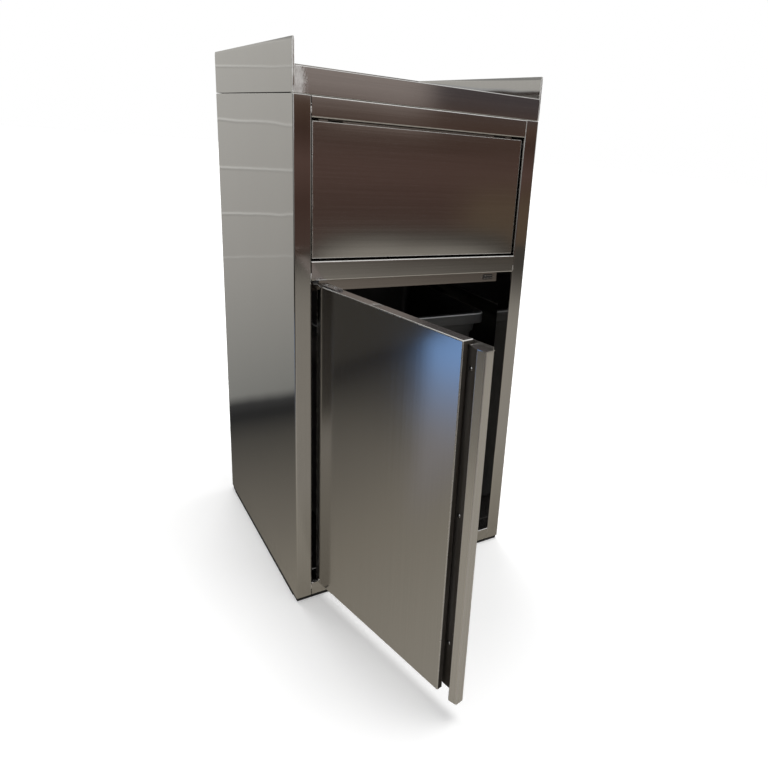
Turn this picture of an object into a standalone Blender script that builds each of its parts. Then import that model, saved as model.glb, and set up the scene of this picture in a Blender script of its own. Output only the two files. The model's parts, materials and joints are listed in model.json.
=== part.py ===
"""Waste bin cabinet of folded stainless sheet.

A box of folded panels stands on rubber strips and carries a tray top with upstands.
A push flap hangs on two pins behind the upper opening, and a door with a full-length
pull swings on pivot arms in the lower one. A plastic bin stands inside.

X runs to the right, Y to the back and Z up. The origin is on the floor, under the
middle of the front base strip. The door is stored open.
"""
from math import cos, radians, sin, tan

import bmesh
import bpy
from mathutils import Matrix, Vector

# Overall sizes, in metres
CABINET_WIDTH = 0.600
CABINET_DEPTH = 0.620

# Front of the cabinet, from the floor upwards
BASE_STRIP_HEIGHT = 0.010
BOTTOM_RAIL_HEIGHT = 0.035
DOOR_OPENING_HEIGHT = 0.761
MID_RAIL_HEIGHT = 0.042
FLAP_OPENING_HEIGHT = 0.286
TOP_RAIL_HEIGHT = 0.041
LIP_HEIGHT = 0.050
UPSTAND_HEIGHT = 0.050

# Sheet and folds
SHEET = 0.0012
TOP_SHEET = 0.0015
FOLD_RADIUS = 0.0030
HEM_THICKNESS = 0.0040
HEM_RADIUS = 0.0012
SEAT_GAP = 0.0003
STILE_WIDTH = 0.037
FRAME_DEPTH = 0.050
REAR_FLANGE = 0.022
FOOT_FLANGE = 0.034
HEAD_FLANGE = 0.020
LIP_RETURN = 0.016
LIP_SETBACK = 0.0005

# Rubber strips under the base
BASE_STRIP_WIDTH = 0.026
BASE_STRIP_SETBACK = 0.006
BASE_STRIP_SIDE_SETBACK = 0.002

# Flap
FLAP_RECESS = 0.007
FLAP_SIDE_GAP = 0.0030
FLAP_TOP_GAP = 0.0050
FLAP_BOTTOM_GAP = 0.0040
FLAP_FLANGE = 0.014
FLAP_FOLD = 0.0018
FLAP_AXIS_DROP = 0.012
FLAP_AXIS_SETBACK = 0.0065
FLAP_PIN_RADIUS = 0.0030
FLAP_PIN_REACH = 0.010
FLAP_PIN_HEAD_RADIUS = 0.0045
FLAP_PIN_HEAD = 0.0020
FLAP_BUSH_RADIUS = 0.0060
FLAP_STOP_HEIGHT = 0.009
FLAP_STOP_LEG = 0.018
FLAP_STOP_END_GAP = 0.020
FLAP_BUFFER_WIDTH = 0.030
FLAP_BUFFER_HEIGHT = 0.007
FLAP_BUFFER_THICKNESS = 0.0020
FLAP_BUFFER_END_GAP = 0.040

# Door
DOOR_OPEN_ANGLE = 78.3
DOOR_RECESS = 0.006
DOOR_THICKNESS = 0.0252
DOOR_HINGE_GAP = 0.0155
DOOR_LATCH_GAP = 0.0040
DOOR_TOP_GAP = 0.0085
DOOR_BOTTOM_GAP = 0.0035
DOOR_FOLD = 0.0018
DOOR_LINER_MARGIN = 0.0015
PULL_SLOT_WIDTH = 0.031
PULL_BAR_WIDTH = 0.0214
PULL_BAR_LEAN = 0.0040
PULL_RETURN = 0.012
PULL_LIP = 0.012
PULL_LAP = 0.016
PULL_DROP = 0.0058
PULL_LINER_GAP = 0.0040
PULL_SCREW_COUNT = 3
PULL_SCREW_DROP = 0.048
PULL_SCREW_PITCH = 0.2935
PULL_SCREW_OFFSET = 0.0015

# Door pivots: the axis lies in the plane of the door's face, beside its hinge edge
PIVOT_TO_EDGE = 0.005
PIVOT_PIN_RADIUS = 0.0030
PIVOT_PIN_ENGAGEMENT = 0.010
PIVOT_ARM_RADIUS = 0.0055
PIVOT_ARM_LENGTH = 0.070
PIVOT_ARM_SHOULDER = 0.010
PIVOT_ARM_INSET = 0.0020
TOP_ARM_THICKNESS = 0.0030
BOTTOM_ARM_THICKNESS = 0.0020
PIVOT_WASHER_RADIUS = 0.0080
PIVOT_BUSH_RADIUS = 0.0070
PIVOT_SCREW_PITCH = 0.030

# Door stops and magnetic catch
STOP_CLEARANCE = 0.0020
STOP_WIDTH = 0.012
HEAD_STOP_HEIGHT = 0.030
STOP_LEG = 0.015
HEAD_STOP_END_GAP = 0.024
CATCH_WIDTH = 0.029
CATCH_HEIGHT = 0.0125
CATCH_DEPTH = 0.014
CATCH_EAR = 0.009
CATCH_EAR_THICKNESS = 0.0020
CATCH_FROM_JAMB = 0.052
CATCH_DROP = 0.018
POLE_LENGTH = 0.026
POLE_THICKNESS = 0.0016
POLE_STAND = 0.0010
POLE_PITCH = 0.006
STRIKE_THICKNESS = 0.0010
STRIKE_WIDTH = 0.030
STRIKE_HEIGHT = 0.012

# Fasteners
RIVET_ROWS = 5
RIVET_HEAD_RADIUS = 0.0040
RIVET_HEAD_HEIGHT = 0.0014
RIVET_CROWN_SHARE = 0.6
RIVET_CROWN_RISE = 0.8
RIVET_SHANK_RADIUS = 0.0020
RIVET_GRIP = 0.0060
RIVET_END_GAP = 0.060
SCREW_HEAD_RADIUS = 0.0040
SCREW_HEAD_HEIGHT = 0.0020
SCREW_CROWN_SHARE = 0.6
SCREW_RIM_RISE = 0.4
SCREW_SHANK_RADIUS = 0.0020
SCREW_SHANK_LENGTH = 0.0080
SHORT_SCREW_LENGTH = 0.0040
SCREW_CLEARANCE = 0.0003

# Worktop stiffeners
STIFFENER_HEIGHT = 0.025
STIFFENER_WIDTH = 0.060
STIFFENER_BRIM = 0.015
STIFFENER_SETBACK = 0.120

# Bin
BIN_SIDE_CLEARANCE = 0.016
BIN_FRONT_CLEARANCE = 0.0405
BIN_REAR_CLEARANCE = 0.0945
BIN_HEAD_CLEARANCE = 0.131
BIN_SHIFT = 0.018
BIN_WALL = 0.0030
BIN_TAPER = 0.045
BIN_CORNER_RADIUS = 0.024
BIN_RIM_WIDTH = 0.016
BIN_RIM_SKIRT = 0.028

# How finely round shapes are cut, how far holes reach past their seats, and mesh limits
ROUND_STEPS = 16
FOLD_STEPS = 3
BEVEL_STEPS = 2
BIN_CORNER_STEPS = 4
DRILL_REACH = 0.005
MERGE_DISTANCE = 0.00001
FLAT_ANGLE = radians(1)
SMOOTH_ANGLE = radians(40)

# Planes and levels worked out from the sizes above
FRONT = -(BASE_STRIP_SETBACK + BASE_STRIP_WIDTH / 2)
BACK = FRONT + CABINET_DEPTH
RIGHT = CABINET_WIDTH / 2
JAMB = RIGHT - STILE_WIDTH
FRAME_BACK = FRONT + FRAME_DEPTH
BASE_LEVEL = BASE_STRIP_HEIGHT + SEAT_GAP
DOOR_SILL = BASE_STRIP_HEIGHT + BOTTOM_RAIL_HEIGHT
DOOR_HEAD = DOOR_SILL + DOOR_OPENING_HEIGHT
FLAP_SILL = DOOR_HEAD + MID_RAIL_HEIGHT
FLAP_HEAD = FLAP_SILL + FLAP_OPENING_HEIGHT
CARCASS_TOP = FLAP_HEAD + TOP_RAIL_HEIGHT
LIP_BOTTOM = CARCASS_TOP + SEAT_GAP
WORKTOP_LEVEL = LIP_BOTTOM + LIP_HEIGHT
UPSTAND_TOP = WORKTOP_LEVEL + UPSTAND_HEIGHT
INNER_RIGHT = RIGHT - SHEET - SEAT_GAP
LINER_BACK = BACK - SHEET - SEAT_GAP

FLAP_FACE = FRONT + FLAP_RECESS
FLAP_TOP = FLAP_HEAD - FLAP_TOP_GAP
FLAP_BOTTOM = FLAP_SILL + FLAP_BOTTOM_GAP
FLAP_HALF_WIDTH = JAMB - FLAP_SIDE_GAP
FLAP_AXIS = Vector((0, FLAP_FACE + FLAP_AXIS_SETBACK, FLAP_TOP - FLAP_AXIS_DROP))

DOOR_WIDTH = 2 * JAMB - DOOR_HINGE_GAP - DOOR_LATCH_GAP
DOOR_BOTTOM = DOOR_SILL + DOOR_BOTTOM_GAP
DOOR_TOP = DOOR_HEAD - DOOR_TOP_GAP
DOOR_EDGE = -JAMB + DOOR_HINGE_GAP
DOOR_PIVOT = Vector((DOOR_EDGE - PIVOT_TO_EDGE, FRONT + DOOR_RECESS, 0))
DOOR_LEFT = PIVOT_TO_EDGE
DOOR_RIGHT = DOOR_LEFT + DOOR_WIDTH
DOOR_FACE_RIGHT = DOOR_RIGHT - PULL_BAR_WIDTH - PULL_SLOT_WIDTH
DOOR_LINER_FRONT = DOOR_THICKNESS - SHEET
PULL_TOP = DOOR_TOP - PULL_DROP
PULL_BACK = DOOR_LINER_FRONT - SEAT_GAP

STOP_FACE = FRONT + DOOR_RECESS + DOOR_THICKNESS + STRIKE_THICKNESS + STOP_CLEARANCE
CATCH_CENTRE = Vector((JAMB - CATCH_FROM_JAMB, STOP_FACE, DOOR_HEAD - CATCH_DROP))

X_AXIS = Vector((1, 0, 0))
Y_AXIS = Vector((0, 1, 0))
Z_AXIS = Vector((0, 0, 1))


def remove_everything():
    """Empty the scene that the script runs in."""
    for thing in list(bpy.data.objects):
        bpy.data.objects.remove(thing, do_unlink=True)


def new_collection(name):
    """A collection linked to the scene."""
    collection = bpy.data.collections.new(name)
    bpy.context.scene.collection.children.link(collection)
    return collection


def new_material(name, colour, roughness, metallic):
    """A plain Principled material."""
    material = bpy.data.materials.new(name)
    material.use_nodes = True
    shader = material.node_tree.nodes["Principled BSDF"]
    shader.inputs["Base Color"].default_value = (*colour, 1)
    shader.inputs["Roughness"].default_value = roughness
    shader.inputs["Metallic"].default_value = metallic
    return material


remove_everything()
PARTS = new_collection("waste_bin_cabinet")
CUTTERS = new_collection("cutters")

BRUSHED_STEEL = new_material("brushed_steel", (0.52, 0.51, 0.49), 0.32, 1.0)
PLAIN_STEEL = new_material("plain_steel", (0.45, 0.45, 0.45), 0.40, 1.0)
BIN_PLASTIC = new_material("bin_plastic", (0.060, 0.062, 0.065), 0.55, 0.0)
BLACK_RUBBER = new_material("black_rubber", (0.015, 0.015, 0.015), 0.80, 0.0)
BLACK_PLASTIC = new_material("black_plastic", (0.020, 0.020, 0.022), 0.45, 0.0)
BLACK_NYLON = new_material("black_nylon", (0.020, 0.020, 0.021), 0.50, 0.0)


def new_axis(name, location):
    """An empty on a joint's axis, which carries the pieces that turn with it."""
    axis = bpy.data.objects.new(name, None)
    axis.location = location
    PARTS.objects.link(axis)
    return axis


def new_piece(name, mesh, material, parent=None):
    """A sub-part: one object with its own material, under the empty that carries it."""
    piece = bpy.data.objects.new(name, mesh)
    mesh.materials.clear()
    mesh.materials.append(material)
    PARTS.objects.link(piece)
    piece.parent = parent
    return piece


def new_tool(name, mesh, parent=None):
    """A cutter or a lump to be joined on, hidden from the finished object."""
    tool = bpy.data.objects.new(name, mesh)
    tool.hide_render = True
    tool.display_type = "WIRE"
    CUTTERS.objects.link(tool)
    tool.parent = parent
    return tool


def combine(piece, tool, operation):
    """Join a tool on to a piece, or cut it away."""
    boolean = piece.modifiers.new(tool.name, "BOOLEAN")
    boolean.operation = operation
    boolean.solver = "EXACT"
    boolean.object = tool


def mesh_from(work, name):
    """Turn a finished bmesh into a mesh."""
    mesh = bpy.data.meshes.new(name)
    work.to_mesh(mesh)
    work.free()
    return mesh


def box_work(low, high):
    """A box between two corners."""
    low = Vector(low)
    high = Vector(high)
    size = high - low
    matrix = Matrix.Translation((low + high) / 2) @ Matrix.Diagonal((*size, 1))
    work = bmesh.new()
    bmesh.ops.create_cube(work, size=1, matrix=matrix)
    work.normal_update()
    return work


def box_mesh(name, low, high):
    """A box between two corners, as a mesh."""
    return mesh_from(box_work(low, high), name)


def round_edges(mesh, radius):
    """Round every sharp edge of a closed mesh."""
    work = bmesh.new()
    work.from_mesh(mesh)
    flat = [edge for edge in work.edges if edge.calc_face_angle() < FLAT_ANGLE]
    bmesh.ops.dissolve_edges(work, edges=flat)
    bmesh.ops.bevel(work, geom=work.edges[:], offset=radius, segments=BEVEL_STEPS, profile=0.5,
                    affect="EDGES")
    work.to_mesh(mesh)
    work.free()
    return mesh


def plate_mesh(name, outline, bottom, top):
    """A flat plate: an outline in plan, filled and drawn up between two heights."""
    curve = bpy.data.curves.new(name, "CURVE")
    curve.dimensions = "2D"
    curve.fill_mode = "BOTH"
    curve.extrude = (top - bottom) / 2
    spline = curve.splines.new("POLY")
    spline.points.add(len(outline) - 1)
    for point, (across, along) in zip(spline.points, outline):
        point.co = (across, along, 0, 1)
    spline.use_cyclic_u = True
    blank = bpy.data.objects.new(name, curve)
    bpy.context.scene.collection.objects.link(blank)
    evaluated = blank.evaluated_get(bpy.context.evaluated_depsgraph_get())
    mesh = bpy.data.meshes.new_from_object(evaluated)
    bpy.data.objects.remove(blank, do_unlink=True)
    work = bmesh.new()
    work.from_mesh(mesh)
    bmesh.ops.remove_doubles(work, verts=work.verts[:], dist=MERGE_DISTANCE)
    bmesh.ops.translate(work, verts=work.verts[:], vec=Z_AXIS * (bottom + top) / 2)
    return mesh_from(work, name)


def rounded_path(path, radius):
    """A path of straight runs with an arc of the given radius at each bend."""
    points = [Vector(path[0])]
    for before, corner, after in zip(path, path[1:], path[2:]):
        corner = Vector(corner)
        arriving = (corner - Vector(before)).normalized()
        leaving = (Vector(after) - corner).normalized()
        turn = -arriving.angle_signed(leaving)
        start = corner - arriving * radius * tan(abs(turn) / 2)
        centre = corner + (leaving - arriving).normalized() * radius / cos(turn / 2)
        for step in range(FOLD_STEPS + 1):
            points.append(centre + Matrix.Rotation(turn * step / FOLD_STEPS, 2) @ (start - centre))
    points.append(Vector(path[-1]))
    return points


def folded_sheet(name, path, span, plane, thickness, radius, material, parent=None):
    """A folded sheet: a bent path swept straight over a span, grown to the left of the path.

    The path lies in the XY or the YZ plane, and the span runs along the third axis.
    """
    ends = []
    work = bmesh.new()
    for reach in span:
        row = []
        for first, second in rounded_path(path, radius):
            point = (first, second, reach) if plane == "XY" else (reach, first, second)
            row.append(work.verts.new(point))
        ends.append(row)
    near, far = ends
    for index in range(len(near) - 1):
        work.faces.new((near[index], near[index + 1], far[index + 1], far[index]))
    piece = new_piece(name, mesh_from(work, name), material, parent)
    thicken(piece, thickness, -1)
    return piece


def thicken(piece, thickness, offset):
    """Give an open surface its wall."""
    wall = piece.modifiers.new("wall", "SOLIDIFY")
    wall.thickness = thickness
    wall.offset = offset
    wall.use_even_offset = True


def tray(name, low, high, open_side, fold, material, parent=None):
    """A folded tray: a box with one side open, its folds rounded and its wall inside them."""
    work = box_work(low, high)
    mouth = max(work.faces, key=lambda face: face.normal.dot(open_side))
    bmesh.ops.delete(work, geom=[mouth], context="FACES_ONLY")
    folds = [edge for edge in work.edges if not edge.is_boundary]
    bmesh.ops.bevel(work, geom=folds, offset=fold, segments=BEVEL_STEPS, profile=0.5, affect="EDGES")
    piece = new_piece(name, mesh_from(work, name), material, parent)
    thicken(piece, SHEET, -1)
    return piece


def turned_mesh(name, profile, closed=False):
    """A profile of (radius, height) points, read down its outer side, turned about Z."""
    work = bmesh.new()
    points = [work.verts.new((radius, 0, height)) for radius, height in profile]
    for first, second in zip(points, points[1:]):
        work.edges.new((first, second))
    if closed:
        work.edges.new((points[-1], points[0]))
    blank = bpy.data.objects.new(name, mesh_from(work, name))
    bpy.context.scene.collection.objects.link(blank)
    screw = blank.modifiers.new("turn", "SCREW")
    screw.steps = ROUND_STEPS
    screw.render_steps = ROUND_STEPS
    screw.use_merge_vertices = True
    screw.merge_threshold = MERGE_DISTANCE
    evaluated = blank.evaluated_get(bpy.context.evaluated_depsgraph_get())
    mesh = bpy.data.meshes.new_from_object(evaluated)
    bpy.data.objects.remove(blank, do_unlink=True)
    mesh.shade_smooth()
    mesh.set_sharp_from_angle(angle=SMOOTH_ANGLE)
    return mesh


def aim(axis):
    """The turn that carries Z on to an axis."""
    return Z_AXIS.rotation_difference(axis).to_matrix().to_4x4()


def repeated_mesh(name, mesh, seats, axis):
    """Copies of one turned mesh at several seats, pointing along an axis, as separate bodies."""
    work = bmesh.new()
    for seat in seats:
        copy = mesh.copy()
        copy.transform(Matrix.Translation(seat) @ aim(axis))
        work.from_mesh(copy)
        bpy.data.meshes.remove(copy)
    group = mesh_from(work, name)
    group.shade_smooth()
    group.set_sharp_from_angle(angle=SMOOTH_ANGLE)
    return group


def place(piece, seat, axis):
    """Put a turned piece at its seat, pointing along an axis."""
    piece.location = seat
    piece.rotation_euler = aim(axis).to_euler()


def new_copies(name, mesh, seats, axis, material, parent=None):
    """Separate pieces of one turned shape, one at each seat, pointing along an axis."""
    for number, seat in enumerate(seats, 1):
        place(new_piece(f"{name}_{number}", mesh, material, parent), seat, axis)


def drill(piece, name, seats, axis, shank, parent=None):
    """Cut a round hole through a piece at each seat, a running clearance wider than its shank."""
    radius = shank + SCREW_CLEARANCE
    profile = [(0, DRILL_REACH), (radius, DRILL_REACH), (radius, -DRILL_REACH), (0, -DRILL_REACH)]
    rod = turned_mesh(name, profile)
    tool = new_tool(name, repeated_mesh(name, rod, seats, axis), parent)
    combine(piece, tool, "DIFFERENCE")


def screw_mesh(name, length):
    """A pan-head screw, its seat under the head at the origin."""
    profile = [
        (0, SCREW_HEAD_HEIGHT),
        (SCREW_HEAD_RADIUS * SCREW_CROWN_SHARE, SCREW_HEAD_HEIGHT),
        (SCREW_HEAD_RADIUS, SCREW_HEAD_HEIGHT * SCREW_RIM_RISE),
        (SCREW_HEAD_RADIUS, 0),
        (SCREW_SHANK_RADIUS, 0),
        (SCREW_SHANK_RADIUS, -length),
        (0, -length),
    ]
    return turned_mesh(name, profile)


def ring_mesh(name, outer, inner, bottom, top):
    """A flat ring between two heights."""
    return turned_mesh(name, [(outer, top), (outer, bottom), (inner, bottom), (inner, top)], closed=True)


def evenly(first, last, count):
    """Places spread evenly from one value to another."""
    return [first + (last - first) * index / (count - 1) for index in range(count)]


def side_panel(name, side):
    """A side panel whose front edge folds into the stile and its jamb, and whose back edge folds in.

    A foot flange stands on the base strip and a head flange carries the worktop.
    """
    path = [
        (side * (RIGHT - REAR_FLANGE), BACK),
        (side * RIGHT, BACK),
        (side * RIGHT, FRONT),
        (side * JAMB, FRONT),
        (side * JAMB, FRAME_BACK),
    ]
    if side > 0:
        path.reverse()
    panel = folded_sheet(name, path, (BASE_LEVEL, CARCASS_TOP), "XY", SHEET, FOLD_RADIUS, BRUSHED_STEEL)
    buried = SHEET / 3
    flange_front = FRAME_BACK + FOLD_RADIUS
    flange_back = BACK - FOLD_RADIUS - SHEET
    flanges = {
        "foot": (FOOT_FLANGE, BASE_LEVEL + SEAT_GAP),
        "head": (HEAD_FLANGE, CARCASS_TOP - SEAT_GAP - SHEET),
    }
    for edge, (width, level) in flanges.items():
        across = sorted((side * (RIGHT - buried), side * (RIGHT - width)))
        low = (across[0], flange_front, level)
        high = (across[1], flange_back, level + SHEET)
        flange = new_tool(f"{name}_{edge}_flange", box_mesh(edge, low, high))
        combine(panel, flange, "UNION")
    pin_hole = Vector((side * JAMB, FLAP_AXIS.y, FLAP_AXIS.z))
    drill(panel, f"{name}_pin_hole", [pin_hole], X_AXIS, FLAP_PIN_RADIUS)
    seats = [Vector((side * rivet_line(), BACK, height)) for height in rivet_heights()]
    drill(panel, f"{name}_rivet_holes", seats, Y_AXIS, RIVET_SHANK_RADIUS)


def rivet_line():
    """The distance of each column of rivets from the middle of the back."""
    return RIGHT - REAR_FLANGE / 2


def rivet_heights():
    """The heights of the rivets in one column."""
    return evenly(BASE_LEVEL + RIVET_END_GAP, CARCASS_TOP - RIVET_END_GAP, RIVET_ROWS)


def back_panel():
    """A flat back with a flange along its top, riveted inside the side panels' rear flanges."""
    path = [
        (LINER_BACK, BASE_LEVEL),
        (LINER_BACK, CARCASS_TOP - SEAT_GAP),
        (LINER_BACK - HEAD_FLANGE, CARCASS_TOP - SEAT_GAP),
    ]
    inner = INNER_RIGHT - HEAD_FLANGE
    reach = RIGHT - FOLD_RADIUS - SEAT_GAP
    panel = folded_sheet("back_panel", path, (-reach, reach), "YZ", SHEET, FOLD_RADIUS, BRUSHED_STEEL)
    for side in (-1, 1):
        across = sorted((side * (inner - SEAT_GAP), side * RIGHT))
        low = (across[0], LINER_BACK - HEAD_FLANGE - SHEET, CARCASS_TOP - FOLD_RADIUS - SHEET)
        high = (across[1], LINER_BACK - SHEET - SEAT_GAP, CARCASS_TOP)
        notch = new_tool(f"back_panel_notch_{side}", box_mesh("notch", low, high))
        combine(panel, notch, "DIFFERENCE")
    columns = (-rivet_line(), rivet_line())
    seats = [Vector((column, LINER_BACK, height)) for column in columns for height in rivet_heights()]
    drill(panel, "back_panel_holes", seats, Y_AXIS, RIVET_SHANK_RADIUS)
    profile = [
        (0, RIVET_HEAD_HEIGHT),
        (RIVET_HEAD_RADIUS * RIVET_CROWN_SHARE, RIVET_HEAD_HEIGHT * RIVET_CROWN_RISE),
        (RIVET_HEAD_RADIUS, 0),
        (RIVET_SHANK_RADIUS, 0),
        (RIVET_SHANK_RADIUS, -RIVET_GRIP),
        (0, -RIVET_GRIP),
    ]
    rivet = turned_mesh("rivet", profile)
    heads = [Vector((seat.x, BACK + SEAT_GAP, seat.z)) for seat in seats]
    new_copies("back_panel_rivet", rivet, heads, Y_AXIS, PLAIN_STEEL)


def front_rail(name, bottom, top):
    """A channel between the jambs, its web in the front plane and its flanges to the back."""
    path = [(FRAME_BACK, top), (FRONT, top), (FRONT, bottom), (FRAME_BACK, bottom)]
    reach = JAMB - SEAT_GAP
    return folded_sheet(name, path, (-reach, reach), "YZ", SHEET, FOLD_RADIUS, BRUSHED_STEEL)


def front_frame():
    """The three rails, drilled for the door's pivot pins."""
    front_rail("top_rail", FLAP_HEAD, CARCASS_TOP)
    middle = front_rail("mid_rail", DOOR_HEAD, FLAP_SILL)
    bottom = front_rail("bottom_rail", BASE_LEVEL, DOOR_SILL)
    drill(middle, "mid_rail_pin_hole", [DOOR_PIVOT + Z_AXIS * DOOR_HEAD], Z_AXIS, PIVOT_PIN_RADIUS)
    drill(bottom, "bottom_rail_pin_hole", [DOOR_PIVOT + Z_AXIS * DOOR_SILL], Z_AXIS, PIVOT_PIN_RADIUS)


def base_panel():
    """The floor of the bin space, a tray turned down over the foot flanges."""
    low = (-INNER_RIGHT, FRAME_BACK + SEAT_GAP, BASE_LEVEL + SEAT_GAP + SHEET + SEAT_GAP)
    high = (INNER_RIGHT, LINER_BACK - SHEET - SEAT_GAP, DOOR_SILL)
    tray("base_panel", low, high, -Z_AXIS, FOLD_RADIUS, BRUSHED_STEEL)


def base_strips():
    """Four rubber strips that carry the cabinet, set back from its faces."""
    outer = RIGHT - BASE_STRIP_SIDE_SETBACK
    inner = outer - BASE_STRIP_WIDTH
    front = FRONT + BASE_STRIP_SETBACK
    back = BACK - BASE_STRIP_SETBACK
    side_front = front + BASE_STRIP_WIDTH + SEAT_GAP
    side_back = back - BASE_STRIP_WIDTH - SEAT_GAP
    strips = {
        "front_base_strip": ((-outer, front), (outer, front + BASE_STRIP_WIDTH)),
        "rear_base_strip": ((-outer, back - BASE_STRIP_WIDTH), (outer, back)),
        "left_base_strip": ((-outer, side_front), (-inner, side_back)),
        "right_base_strip": ((inner, side_front), (outer, side_back)),
    }
    for name, (low, high) in strips.items():
        new_piece(name, box_mesh(name, (*low, 0), (*high, BASE_STRIP_HEIGHT)), BLACK_RUBBER)


def worktop():
    """The tray top: a plate folded into a lip at the front, with hemmed upstands on three sides."""
    buried = HEM_THICKNESS / 2
    lip_face = FRONT + LIP_SETBACK
    path = [
        (BACK - buried, WORKTOP_LEVEL),
        (lip_face, WORKTOP_LEVEL),
        (lip_face, LIP_BOTTOM),
        (lip_face + LIP_RETURN, LIP_BOTTOM),
    ]
    reach = RIGHT - buried
    top = folded_sheet("worktop", path, (-reach, reach), "YZ", TOP_SHEET, FOLD_RADIUS, BRUSHED_STEEL)
    inner = RIGHT - HEM_THICKNESS
    outline = [
        (-RIGHT, FRONT),
        (-inner, FRONT),
        (-inner, BACK - HEM_THICKNESS),
        (inner, BACK - HEM_THICKNESS),
        (inner, FRONT),
        (RIGHT, FRONT),
        (RIGHT, BACK),
        (-RIGHT, BACK),
    ]
    band = plate_mesh("upstand_band", outline, LIP_BOTTOM + SEAT_GAP, UPSTAND_TOP)
    combine(top, new_tool("upstand_band", round_edges(band, HEM_RADIUS)), "UNION")


def worktop_stiffener(name, middle):
    """A hat channel across the underside of the worktop."""
    brim_level = WORKTOP_LEVEL - TOP_SHEET - SEAT_GAP
    crown = brim_level - STIFFENER_HEIGHT
    half = STIFFENER_WIDTH / 2
    path = [
        (middle + half + STIFFENER_BRIM, brim_level),
        (middle + half, brim_level),
        (middle + half, crown),
        (middle - half, crown),
        (middle - half, brim_level),
        (middle - half - STIFFENER_BRIM, brim_level),
    ]
    reach = RIGHT - HEM_THICKNESS - SEAT_GAP
    folded_sheet(name, path, (-reach, reach), "YZ", SHEET, FOLD_RADIUS, PLAIN_STEEL)


def flap(axis):
    """The push flap: a shallow tray with a pin through each end of its top, closed by an inner skin."""
    low = Vector((-FLAP_HALF_WIDTH, FLAP_FACE, FLAP_BOTTOM)) - FLAP_AXIS
    high = Vector((FLAP_HALF_WIDTH, FLAP_FACE + FLAP_FLANGE, FLAP_TOP)) - FLAP_AXIS
    panel = tray("flap_panel", low, high, Y_AXIS, FLAP_FOLD, BRUSHED_STEEL, axis)
    ends = [X_AXIS * -FLAP_HALF_WIDTH, X_AXIS * FLAP_HALF_WIDTH]
    drill(panel, "flap_pin_holes", ends, X_AXIS, FLAP_PIN_RADIUS, axis)
    profile = [
        (0, FLAP_SIDE_GAP + FLAP_PIN_REACH),
        (FLAP_PIN_RADIUS, FLAP_SIDE_GAP + FLAP_PIN_REACH),
        (FLAP_PIN_RADIUS, -SHEET - SEAT_GAP),
        (FLAP_PIN_HEAD_RADIUS, -SHEET - SEAT_GAP),
        (FLAP_PIN_HEAD_RADIUS, -SHEET - SEAT_GAP - FLAP_PIN_HEAD),
        (0, -SHEET - SEAT_GAP - FLAP_PIN_HEAD),
    ]
    pin = turned_mesh("flap_pin", profile)
    for name, side in (("flap_left_pivot_pin", -1), ("flap_right_pivot_pin", 1)):
        seat = X_AXIS * side * FLAP_HALF_WIDTH
        place(new_piece(name, pin, PLAIN_STEEL, axis), seat, X_AXIS * side)
    margin = Vector((SHEET + SEAT_GAP, 0, SHEET + SEAT_GAP))
    skin_low = Vector((low.x, high.y - SHEET, low.z)) + margin
    skin_mesh = box_mesh("flap_inner_skin", skin_low, high - margin)
    new_piece("flap_inner_skin", skin_mesh, BRUSHED_STEEL, axis)


def flap_seat():
    """The bushes that the flap's pins turn in, and the buffered strip that its top edge rests on."""
    bush = ring_mesh("bush", FLAP_BUSH_RADIUS, FLAP_PIN_RADIUS + SCREW_CLEARANCE,
                     SEAT_GAP, FLAP_SIDE_GAP - SEAT_GAP)
    for name, side in (("flap_left_bush", -1), ("flap_right_bush", 1)):
        seat = FLAP_AXIS + X_AXIS * side * FLAP_HALF_WIDTH
        place(new_piece(name, bush, BLACK_NYLON), seat, X_AXIS * side)

    buffer_front = FLAP_FACE + FLAP_FLANGE + SEAT_GAP
    strip_face = buffer_front + FLAP_BUFFER_THICKNESS + SEAT_GAP
    roof = FLAP_HEAD - SEAT_GAP
    path = [(strip_face + FLAP_STOP_LEG, roof), (strip_face, roof), (strip_face, roof - FLAP_STOP_HEIGHT)]
    reach = FLAP_HALF_WIDTH - FLAP_STOP_END_GAP
    folded_sheet("flap_stop_strip", path, (-reach, reach), "YZ", SHEET, FOLD_RADIUS, BRUSHED_STEEL)

    for name, side in (("left_flap_buffer", -1), ("right_flap_buffer", 1)):
        outer = side * (FLAP_HALF_WIDTH - FLAP_BUFFER_END_GAP)
        across = sorted((outer, outer - side * FLAP_BUFFER_WIDTH))
        bottom = roof - FLAP_STOP_HEIGHT
        low = (across[0], buffer_front, bottom)
        high = (across[1], buffer_front + FLAP_BUFFER_THICKNESS, bottom + FLAP_BUFFER_HEIGHT)
        new_piece(name, box_mesh(name, low, high), BLACK_RUBBER)


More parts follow.
